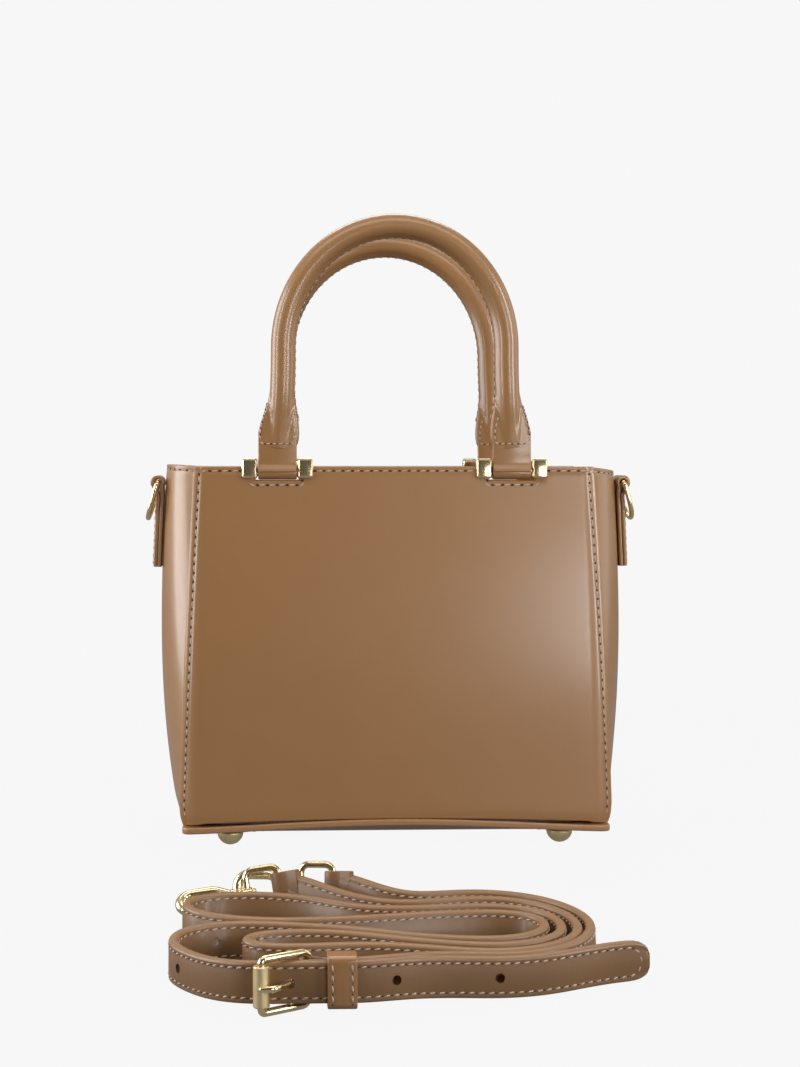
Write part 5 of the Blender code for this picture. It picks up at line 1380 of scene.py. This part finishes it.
# %% [markdown]
# The strap is made flat first: a rounded section lofted along X, with a slight groove under each row of
# stitches. Its holes are punched while it is flat, and then every point is carried along the route. The
# stitches run round both lengths on both faces, two millimetres from the edge.

# %% Make the two lengths
STRAP_EDGE = 1.1 * MM
STRAP_STEP = 2.5 * MM
STRAP_SEAM_INSET = 2.0 * MM
STRAP_GROOVE = 0.18 * MM
STRAP_END_GAP = 4.6 * MM
STRAP_PITCH = 3.5 * MM
HOLE_RADIUS = 1.7 * MM
HOLES = np.array((59.5, 98.0, 134.0, 184.0, 223.0, 261.0, 299.0)) * MM
PRONG_HOLE = 2
TIP_SHARES = (0.36, 0.62, 0.78, 0.9, 0.97, 1.0)
TIP_LENGTH_SHARES = (0.0, 0.08, 0.22, 0.45, 0.75, 1.15)


def strap_section():
    """Half thickness 1.8 and half width 7, with round edges and a groove under each row of stitches."""
    thick, wide = STRAP_THICKNESS / 2, HALF_STRAP
    seam = wide - STRAP_SEAM_INSET
    face = [
        (thick, -seam - 0.8 * MM), (thick - STRAP_GROOVE, -seam), (thick, -seam + 0.8 * MM),
        (thick, 0), (thick, seam - 0.8 * MM), (thick - STRAP_GROOVE, seam), (thick, seam + 0.8 * MM),
    ]
    upper = arc((thick - STRAP_EDGE, wide - STRAP_EDGE), STRAP_EDGE, 0.3, math.pi / 2, 3)
    upper += arc((STRAP_EDGE - thick, wide - STRAP_EDGE), STRAP_EDGE, math.pi / 2, math.pi - 0.3, 3)
    back = [(-x, -y) for x, y in face]
    lower = [(-x, -y) for x, y in upper]
    return face + upper + back + lower


def tip_share(along):
    return float(np.interp(along / HALF_STRAP, TIP_LENGTH_SHARES, TIP_SHARES))


def flat_strap(length, round_tip, holes):
    section = strap_section()
    stations = list(np.linspace(0, length, int(length / STRAP_STEP) + 1))
    if round_tip:
        tip = [HALF_STRAP * share for share in np.linspace(0, 1.15, 12)]
        stations = tip + [s for s in stations if s > tip[-1] + MM]
    rings = []
    for station in stations:
        share = tip_share(station) if round_tip else 1.0
        rings.append([(station, out, up * share) for out, up in section])
    marks = [1.0 if abs(up) > HALF_STRAP - STRAP_EDGE else 0.0 for _, up in section]
    bm = loft(bmesh.new(), rings, marks=marks)
    bmesh.ops.recalc_face_normals(bm, faces=bm.faces)
    band = bpy.data.meshes.new("flat_strap")
    bm.to_mesh(band)
    bm.free()
    flat = bpy.data.objects.new("flat_strap", band)
    scene.collection.objects.link(flat)
    cutters = []
    for hole in holes:
        cutter_mesh = bpy.data.meshes.new("punch")
        cutter_bm = bmesh.new()
        turn = Matrix.Translation((hole, 0, 0)) @ Matrix.Rotation(math.pi / 2, 4, "X")
        bmesh.ops.create_cone(
            cutter_bm, cap_ends=True, segments=28, radius1=HOLE_RADIUS, radius2=HOLE_RADIUS, depth=4 * STRAP_THICKNESS,
            matrix=turn,
        )
        cutter_bm.to_mesh(cutter_mesh)
        cutter_bm.free()
        cutter = bpy.data.objects.new("punch", cutter_mesh)
        scene.collection.objects.link(cutter)
        cutters.append(cutter)
        punch = flat.modifiers.new("punch", "BOOLEAN")
        punch.operation = "DIFFERENCE"
        punch.object = cutter
        punch.solver = "EXACT"
    bpy.context.view_layer.update()
    made = bpy.data.meshes.new_from_object(flat.evaluated_get(bpy.context.evaluated_depsgraph_get()))
    bm = bmesh.new()
    bm.from_mesh(made)
    for helper in [flat] + cutters:
        bpy.data.objects.remove(helper)
    return bm


def sew_strap(sewing, route, start, end, round_tip):
    """Rows along both edges of both faces, going round the tip in one line."""
    inset = HALF_STRAP - STRAP_SEAM_INSET
    for face in (-1, 1):
        out = face * (STRAP_THICKNESS / 2 - STRAP_GROOVE)
        stations = np.arange(start, end, 2 * MM)
        turn = arc((start + HALF_STRAP * 0.9, 0), inset, math.pi / 2, 3 * math.pi / 2, 14) if round_tip else []
        if round_tip:
            stations = stations[stations > start + HALF_STRAP * 0.95]
        flat = [(s, inset) for s in stations[::-1]] + turn + [(s, -inset) for s in stations]
        rows = [flat] if round_tip else [flat[:len(stations)], flat[len(stations):]]
        for row in rows:
            points = [route.placed(s, out, up) for s, up in row]
            normals = [route.at(s)[1].cross(Vector((0, 0, 1))) * face for s, _ in row]
            sewing.row(points, normals, pitch=STRAP_PITCH, slant=math.radians(12), prick=(0.13, 0.085))


def make_strap(name, route, round_tip, holes):
    length = route.length - STRAP_END_GAP
    bm = flat_strap(length, round_tip, holes)
    for corner in bm.verts:
        corner.co = route.placed(corner.co.x, corner.co.y, corner.co.z)
    piece = add_piece(name + "_leather", bm, [STRAP_HIDE_SHADED], "strap", [name])
    sewing = Sewing(name, "strap")
    sew_strap(sewing, route, 2 * MM if round_tip else 14 * MM, length - 8 * MM, round_tip)
    sewing.finish()
    return piece


long_strap = make_strap("strap_long", LONG, True, HOLES)
short_strap = make_strap("strap_short", SHORT, False, [])

# %% [markdown]
# ## The folded ends
#
# At each end a strap is folded back round a metal bar and sewn down. The fold is a band of two thinner
# layers, carried round the bar, and the turned-back layer lies on the strap.

# %% Fold the strap ends
END_LAYER = 1.7 * MM
END_NECK = 9.0 * MM
END_INSET = 0.3 * MM
LINK_WIRE = 1.4 * MM
BUCKLE_WIRE = 1.35 * MM
HEEL_NECK_OFFSET = 1.5 * MM


def make_strap_end(name, bar_place, up, heading, neck_offset, bar_radius):
    """The fold round one bar. The neck runs from the bar along the heading."""
    heading = (heading - up * heading.dot(up)).normalized()
    across = heading.cross(up)
    path = folded_path(bar_radius, END_LAYER, END_NECK, neck_offset)
    stand = axes(bar_place, across, heading, across.cross(heading))
    bm = folded_strip(path, stand, HALF_STRAP - END_INSET, END_LAYER, 0.7 * MM)
    return add_piece(name, bm, [STRAP_HIDE_SHADED], "strap")


def strap_frame(place, heading, strap_up):
    """Along, up and outward directions of a fitting on the leaning strap."""
    up = (strap_up - heading * strap_up.dot(heading)).normalized()
    return Vector(place), heading, up, heading.cross(up)


# %% [markdown]
# ## The buckle
#
# A roller buckle: a rounded frame, a rolled tube on its outer bar, and a prong that goes through the third
# hole and rests on the tube. A stitched leather keeper holds both lengths together beside it.

# %% Build the buckle
HEEL_BAR_AT = 6.8 * MM
ROLLER_BAR_AT = -9.6 * MM
HEEL_BAR_BEHIND = 5.7 * MM
ROLLER_BAR_BEFORE = 5.8 * MM
HEEL_CORNER = 3.0 * MM
ROLLER_CORNER = 1.5 * MM
BUCKLE_SIDE_GAP = 0.45 * MM
ROLLER_RADIUS = 2.8 * MM
PRONG_WIRE = 0.9 * MM
PRONG_EYE_WALL = 1.3 * MM
KEEPER_AT = 12.6 * MM
KEEPER_WIDTH = 10.0 * MM
KEEPER_WALL = 1.5 * MM


def fitting_frame(route, distance):
    place, heading = route.at(distance)
    origin, along, up, outward = strap_frame(place, -heading, route.up(distance))
    return origin, along, up, -outward if outward.y > 0 else outward


def make_buckle():
    origin, along, up, outward = fitting_frame(LONG, HOLES[PRONG_HOLE])

    def at(distance, before, height):
        return origin + along * distance + outward * before + up * height

    side = HALF_STRAP + BUCKLE_SIDE_GAP + BUCKLE_WIRE
    heel, roller = (HEEL_BAR_AT, -HEEL_BAR_BEHIND), (ROLLER_BAR_AT, ROLLER_BAR_BEFORE)
    slant = math.atan2(heel[1] - roller[1], heel[0] - roller[0])
    span = math.hypot(heel[0] - roller[0], heel[1] - roller[1])
    outline = rounded_loop((0, -side), (span, side), ROLLER_CORNER, HEEL_CORNER, 8)
    path = [at(roller[0] + x * math.cos(slant), roller[1] + x * math.sin(slant), height) for x, height in outline]
    plane = (along * math.cos(slant) + outward * math.sin(slant)).cross(up)
    bm = flat_sweep(path, plane, round_section(BUCKLE_WIRE), closed=True)
    add_piece("buckle_frame_wire", bm, [GOLD], "strap", ["buckle_frame"])

    half = side - ROLLER_CORNER - 0.5 * MM
    bore, soft = BUCKLE_WIRE + 0.3 * MM, 0.35 * MM
    profile = [
        (bore, -half), (ROLLER_RADIUS - soft, -half), (ROLLER_RADIUS, soft - half), (ROLLER_RADIUS, half - soft),
        (ROLLER_RADIUS - soft, half), (bore, half), (bore, -half),
    ]
    bm = turned(profile, axes(at(*roller, 0), along, outward, up))
    add_piece("roller_tube", bm, [SATIN_GOLD], "roller", ["buckle_roller"])

    eye = BUCKLE_WIRE + 0.25 * MM + PRONG_EYE_WALL
    rest = ROLLER_BAR_BEFORE + ROLLER_RADIUS + 0.2 * MM + PRONG_WIRE
    half_leather = STRAP_THICKNESS / 2
    behind, before = -half_leather - PRONG_WIRE - GAP, half_leather + PRONG_WIRE + GAP
    sway = (HOLE_RADIUS - PRONG_WIRE) / 4
    stations = [
        (HEEL_BAR_AT - eye / 2, behind - PRONG_WIRE / 2), (HOLE_RADIUS / 2, behind), (sway, -half_leather),
        (-sway, half_leather), (-HOLE_RADIUS / 2, before), (ROLLER_BAR_AT / 2, rest - PRONG_WIRE),
        (ROLLER_BAR_AT + ROLLER_RADIUS / 2, rest), (ROLLER_BAR_AT - PRONG_WIRE, rest),
    ]
    line = smooth_line(stations, 8)
    scales = list(np.interp(range(len(line)), (0, 20, 44, len(line) - 3, len(line) - 1), (1.0, 1.0, 1.3, 1.0, 0.5)))
    bm = flat_sweep([at(x, y, 0) for x, y in line], up, round_section(PRONG_WIRE), scales=scales)
    ring = [
        (BUCKLE_WIRE + 0.25 * MM, -PRONG_WIRE), (eye, -PRONG_WIRE), (eye, PRONG_WIRE),
        (BUCKLE_WIRE + 0.25 * MM, PRONG_WIRE), (BUCKLE_WIRE + 0.25 * MM, -PRONG_WIRE),
    ]
    turned(ring, axes(at(*heel, 0), along, outward, up), bm=bm)
    add_piece("prong_pin", bm, [GOLD], "prong", ["buckle_prong"])
    return make_strap_end("short_strap_heel_fold", at(*heel, 0), up, along, HEEL_NECK_OFFSET, BUCKLE_WIRE)


heel_fold = make_buckle()


# %% Build the keeper
def make_keeper():
    origin, along, up, outward = fitting_frame(LONG, HOLES[PRONG_HOLE] - KEEPER_AT - KEEPER_WIDTH / 2)
    before = STRAP_THICKNESS / 2 + GAP
    behind = HEEL_NECK_OFFSET - HEEL_BAR_BEHIND - before - GAP
    high = HALF_STRAP + GAP
    wall = KEEPER_WALL
    middle = (before + behind) / 2
    deep = (before - behind) / 2 + wall / 2
    outline = rounded_loop((-deep, -high - wall / 2), (deep, high + wall / 2), 1.4 * MM, 1.4 * MM, 8)
    path = [origin + outward * (middle + x) + up * y for x, y in outline]
    bm = flat_sweep(path, along, band_section(wall / 2, KEEPER_WIDTH / 2, 0.55 * MM), closed=True)
    keeper = add_piece("keeper_loop", bm, [TAN_HIDE], "strap", ["strap_keeper"])
    sewing = Sewing("keeper", "strap")
    for side in (-1, 1):
        line = [
            origin + outward * (before + wall) + along * side * (KEEPER_WIDTH / 2 - 1.7 * MM) + up * height
            for height in np.linspace(-high + 0.4 * MM, high - 0.4 * MM, 8)
        ]
        sewing.row(line, [outward] * len(line), pitch=3.3 * MM, prick=(0.09, 0.08))
    sewing.finish()
    return keeper


keeper = make_keeper()

# %% [markdown]
# ## The snap hooks
#
# Each end of the strap carries a swivel snap hook: an oval link in the leather, a turned boss and stem that
# let the hook spin, the claw, and a sprung gate that closes its mouth.

# %% Build the snap hooks
LINK_LENGTH = 13.6 * MM
LINK_SIDE_GAP = 0.8 * MM
LINK_CORNER = 3.4 * MM
BOSS_RADIUS = 2.7 * MM
BOSS_LENGTH = 4.4 * MM
STEM_RADIUS = 1.0 * MM
STEM_HEAD_RADIUS = 2.0 * MM
STEM_HEAD = 1.2 * MM
BARREL_RADIUS = 3.0 * MM
BARREL_LENGTH = 4.4 * MM
HOOK_WIRE = 2.1 * MM
HOOK_HALF_WIDTH = 5.2 * MM
HOOK_SHOULDER = 11.5 * MM
HOOK_NOSE = 19.5 * MM
HOOK_MOUTH = 17.6 * MM
GATE_WIRE = 1.4 * MM
GATE_PIVOT_AT = 6.6 * MM
GATE_PIVOT_OUT = 4.4 * MM
LUG_WIRE = 1.7 * MM
LONG_HOOK_AIM = (-0.988, -0.075, -0.134)
SHORT_HOOK_AIM = (-0.953, 0.297, -0.055)
LONG_HOOK_ROLL = math.radians(50)
SHORT_HOOK_ROLL = math.radians(15)


def make_hook(letter, route, aim, roll):
    bar_place, strap_heading = route.at(route.length)
    origin, along, up, outward = strap_frame(bar_place, Vector(aim).normalized(), route.up(route.length))
    rolled_up = up * math.cos(roll) + outward * math.sin(roll)
    name = "hook_" + letter

    def at(distance, height):
        return origin + along * distance + up * height

    def rolled(distance, height):
        return origin + along * distance + rolled_up * height

    half = HALF_STRAP + LINK_SIDE_GAP + LINK_WIRE
    outline = rounded_loop((0, -half), (LINK_LENGTH, half), LINK_CORNER, LINK_CORNER, 10)
    bm = flat_sweep([at(x, y) for x, y in outline], outward, round_section(LINK_WIRE), closed=True)
    low, high = LINK_LENGTH - BOSS_LENGTH / 2, LINK_LENGTH + BOSS_LENGTH / 2
    soft, bore = 0.4 * MM, STEM_RADIUS + 0.3 * MM
    ring = [
        (bore, low), (BOSS_RADIUS - soft, low), (BOSS_RADIUS, low + soft), (BOSS_RADIUS, high - soft),
        (BOSS_RADIUS - soft, high), (bore, high), (bore, low),
    ]
    spin = axes(origin, outward, up, along)
    turned(ring, spin, bm=bm)
    add_piece(name + "_oval_link", bm, [GOLD], "strap", [name + "_link"])

    seat = high + 0.3 * MM
    head = low - 0.3 * MM
    barrel_end = seat + BARREL_LENGTH
    profile = [
        (0, head - STEM_HEAD), (STEM_HEAD_RADIUS - soft, head - STEM_HEAD), (STEM_HEAD_RADIUS, head - STEM_HEAD + soft),
        (STEM_HEAD_RADIUS, head), (STEM_RADIUS, head), (STEM_RADIUS, seat), (BARREL_RADIUS - soft, seat),
        (BARREL_RADIUS, seat + soft), (BARREL_RADIUS, seat + 1.5 * MM), (BARREL_RADIUS - 0.35 * MM, seat + 1.9 * MM),
        (BARREL_RADIUS - 0.35 * MM, seat + 2.3 * MM), (BARREL_RADIUS, seat + 2.7 * MM), (BARREL_RADIUS, barrel_end - soft),
        (BARREL_RADIUS - soft, barrel_end), (0, barrel_end),
    ]
    bm = turned(profile, spin)
    claw = [(seat + BARREL_LENGTH / 2, 0), (barrel_end, HOOK_WIRE / 2)]
    claw += [(seat + HOOK_SHOULDER * 0.8, HOOK_HALF_WIDTH * 0.82), (seat + HOOK_SHOULDER, HOOK_HALF_WIDTH)]
    claw = smooth_line(claw, 6)
    claw += arc((seat + HOOK_NOSE, 0), HOOK_HALF_WIDTH, math.pi / 2, -math.pi / 2, 20)
    claw += [(seat + HOOK_MOUTH, -HOOK_HALF_WIDTH)]
    thin = list(np.interp(range(len(claw)), (0, len(claw) - 14, len(claw) - 1), (1.0, 1.0, 0.82)))
    plane = along.cross(rolled_up)
    flat_sweep([rolled(x, y) for x, y in claw], plane, round_section(HOOK_WIRE), scales=thin, bm=bm)
    lug = [
        (seat + LUG_WIRE, 0), (seat + LUG_WIRE + GAP, -GATE_PIVOT_OUT),
        (seat + GATE_PIVOT_AT - GATE_WIRE - GAP, -GATE_PIVOT_OUT),
    ]
    flat_sweep([rolled(x, y) for x, y in smooth_line(lug, 6)], plane, round_section(LUG_WIRE), bm=bm)
    add_piece(name + "_claw", bm, [GOLD], name, [name + "_body"])

    start, end = seat + GATE_PIVOT_AT, seat + HOOK_MOUTH - 0.8 * MM
    gate = [
        (start - GATE_WIRE / 2, -GATE_PIVOT_OUT), (start + GATE_WIRE, -GATE_PIVOT_OUT), (end, -HOOK_HALF_WIDTH),
    ]
    bm = flat_sweep([rolled(x, y) for x, y in smooth_line(gate, 6)], plane, round_section(GATE_WIRE))
    add_piece(name + "_sprung_gate", bm, [GOLD], "gate_" + letter, [name + "_gate"])
    return make_strap_end(name + "_strap_fold", bar_place, up, -strap_heading, 0, LINK_WIRE)


hook_a_fold = make_hook("a", LONG, LONG_HOOK_AIM, LONG_HOOK_ROLL)
hook_b_fold = make_hook("b", SHORT, SHORT_HOOK_AIM, SHORT_HOOK_ROLL)

# %% [markdown]
# The two lengths are free leather cords, 14 mm wide. The line that each follows is read at every sixth point
# of its curve.

def declare(route, lay_end):
    path = [tuple(point) for point in route.points[::6]]
    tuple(path[lay_end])


declare(LONG, 0)
declare(SHORT, 0)

# %% [markdown]
# ## Floor and light
#
# The photograph has a plain near-white ground with hardly any shadow. The floor and the world both show that
# white to the camera, and the floor still takes a faint shadow. Two tall soft lights at the sides draw the
# long highlights on the gussets and handles, and a wide one overhead fills the rest.

# %% Floor and world
GROUND_WHITE = (0.93, 0.93, 0.93)
GROUND_PAPER = (0.08, 0.08, 0.08)
GROUND_GLOW = 1.075
FLOOR_SIZE = 12.0
FLOOR_GLOW_SHARE = 0.85
FLOOR_MIRRORED_SHARE = 0.2
SHADOW_REACH = 0.45


def pale_floor():
    bm = bmesh.new()
    bmesh.ops.create_grid(bm, x_segments=1, y_segments=1, size=FLOOR_SIZE)
    mesh = bpy.data.meshes.new("floor")
    bm.to_mesh(mesh)
    bm.free()
    floor = bpy.data.objects.new("floor", mesh)
    scene.collection.objects.link(floor)
    material = bpy.data.materials.new("pale_floor")
    material.use_nodes = True
    tree = material.node_tree
    shader = tree.nodes["Principled BSDF"]
    shader.inputs["Base Color"].default_value = (*GROUND_PAPER, 1.0)
    shader.inputs["Roughness"].default_value = 0.9
    shader.inputs["Specular IOR Level"].default_value = 0.0
    glow = tree.nodes.new("ShaderNodeEmission")
    glow.inputs["Color"].default_value = (1.0, 1.0, 1.0, 1.0)
    path = tree.nodes.new("ShaderNodeLightPath")
    coordinates = tree.nodes.new("ShaderNodeTexCoord")
    far = tree.nodes.new("ShaderNodeVectorMath")
    far.operation = "LENGTH"
    tree.links.new(coordinates.outputs["Object"], far.inputs[0])
    near_share = tree.nodes.new("ShaderNodeMapRange")
    glow_level = tree.nodes.new("ShaderNodeMapRange")
    for ramp, near, away in ((near_share, FLOOR_GLOW_SHARE, 1.0), (glow_level, GROUND_GLOW, GROUND_WHITE[0])):
        ramp.interpolation_type = "SMOOTHSTEP"
        ramp.inputs["From Min"].default_value = SHADOW_REACH
        ramp.inputs["From Max"].default_value = 2 * SHADOW_REACH
        ramp.inputs["To Min"].default_value = near
        ramp.inputs["To Max"].default_value = away
        tree.links.new(far.outputs["Value"], ramp.inputs["Value"])
    tree.links.new(glow_level.outputs["Result"], glow.inputs["Strength"])
    share = tree.nodes.new("ShaderNodeMath")
    share.operation = "MULTIPLY"
    tree.links.new(near_share.outputs["Result"], share.inputs[1])
    tree.links.new(path.outputs["Is Camera Ray"], share.inputs[0])
    mirrored_share = tree.nodes.new("ShaderNodeMath")
    mirrored_share.operation = "MULTIPLY"
    mirrored_share.inputs[1].default_value = FLOOR_MIRRORED_SHARE
    tree.links.new(path.outputs["Is Glossy Ray"], mirrored_share.inputs[0])
    either = tree.nodes.new("ShaderNodeMath")
    either.operation = "MAXIMUM"
    tree.links.new(share.outputs[0], either.inputs[0])
    tree.links.new(mirrored_share.outputs[0], either.inputs[1])
    mix = tree.nodes.new("ShaderNodeMixShader")
    tree.links.new(either.outputs[0], mix.inputs[0])
    tree.links.new(shader.outputs[0], mix.inputs[1])
    tree.links.new(glow.outputs[0], mix.inputs[2])
    tree.links.new(mix.outputs[0], tree.nodes["Material Output"].inputs["Surface"])
    mesh.materials.append(material)
    floor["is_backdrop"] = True
    return floor


def studio_world():
    """White behind the bag, and a dimmer room behind the camera that the metal reflects."""
    world = bpy.data.worlds.new("studio")
    world.use_nodes = True
    scene.world = world
    tree = world.node_tree
    background = tree.nodes["Background"]
    path = tree.nodes.new("ShaderNodeLightPath")
    coordinates = tree.nodes.new("ShaderNodeTexCoord")
    split = tree.nodes.new("ShaderNodeSeparateXYZ")
    tree.links.new(coordinates.outputs["Generated"], split.inputs[0])
    ramp = tree.nodes.new("ShaderNodeMapRange")
    ramp.inputs["From Min"].default_value = -0.6
    ramp.inputs["From Max"].default_value = 0.5
    ramp.inputs["To Min"].default_value = 0.1
    ramp.inputs["To Max"].default_value = 0.4
    tree.links.new(split.outputs["Y"], ramp.inputs["Value"])
    room = tree.nodes.new("ShaderNodeCombineColor")
    for channel in ("Red", "Green", "Blue"):
        tree.links.new(ramp.outputs["Result"], room.inputs[channel])
    mix = tree.nodes.new("ShaderNodeMix")
    mix.data_type = "RGBA"
    tree.links.new(path.outputs["Is Camera Ray"], mix.inputs[0])
    tree.links.new(room.outputs["Color"], mix.inputs[6])
    mix.inputs[7].default_value = (*GROUND_WHITE, 1.0)
    tree.links.new(mix.outputs[2], background.inputs["Color"])


pale_floor()
studio_world()


# %% Lights
def soft_light(name, place, target, size, power):
    data = bpy.data.lights.new(name, "AREA")
    data.shape = "RECTANGLE"
    data.size, data.size_y = size
    data.energy = power
    lamp = bpy.data.objects.new(name, data)
    lamp.location = place
    lamp.rotation_euler = (Vector(target) - Vector(place)).to_track_quat("-Z", "Y").to_euler()
    scene.collection.objects.link(lamp)


TARGET = Vector((0, -0.03, 0.14))


def from_target(turn, rise, reach):
    """A place at an angle from straight in front of the bag (right is positive) and an angle above it."""
    turn, rise = math.radians(turn), math.radians(rise)
    return TARGET + reach * Vector((math.sin(turn) * math.cos(rise), -math.cos(turn) * math.cos(rise), math.sin(rise)))


soft_light("left_softbox", from_target(-60, 14, 1.0), TARGET, (0.13, 0.6), 3.1)
soft_light("left_side", from_target(-98, 14, 1.0), TARGET, (0.5, 0.75), 6.5)
soft_light("right_strip", from_target(21, 7, 1.0), TARGET, (0.24, 0.26), 1.7)
soft_light("right_softbox", from_target(55, 14, 1.0), TARGET, (0.16, 0.6), 4.3)
soft_light("right_side", from_target(98, 14, 1.0), TARGET, (0.5, 0.75), 1.4)
soft_light("high_front", from_target(0, 62, 0.55), TARGET, (0.7, 0.2), 1.0)
soft_light("behind", from_target(180, 55, 1.2), TARGET, (0.9, 0.5), 6.0)
print("lights and floor are in place")

# %% [markdown]
# ## Last checks
#
# The dressed bag keeps to the size of its solids, apart from a little that soft leather stands proud.

# %% Compare the sizes and finish
visual_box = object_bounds()
[[list(corner) for corner in box] for box in (cad_box, visual_box)]
for axis, label in enumerate("xyz"):
    solid = (cad_box[1][axis] - cad_box[0][axis]) / MM
    shown = (visual_box[1][axis] - visual_box[0][axis]) / MM
    print(label, "solids", round(solid, 1), "mm, dressed", round(shown, 1), "mm")
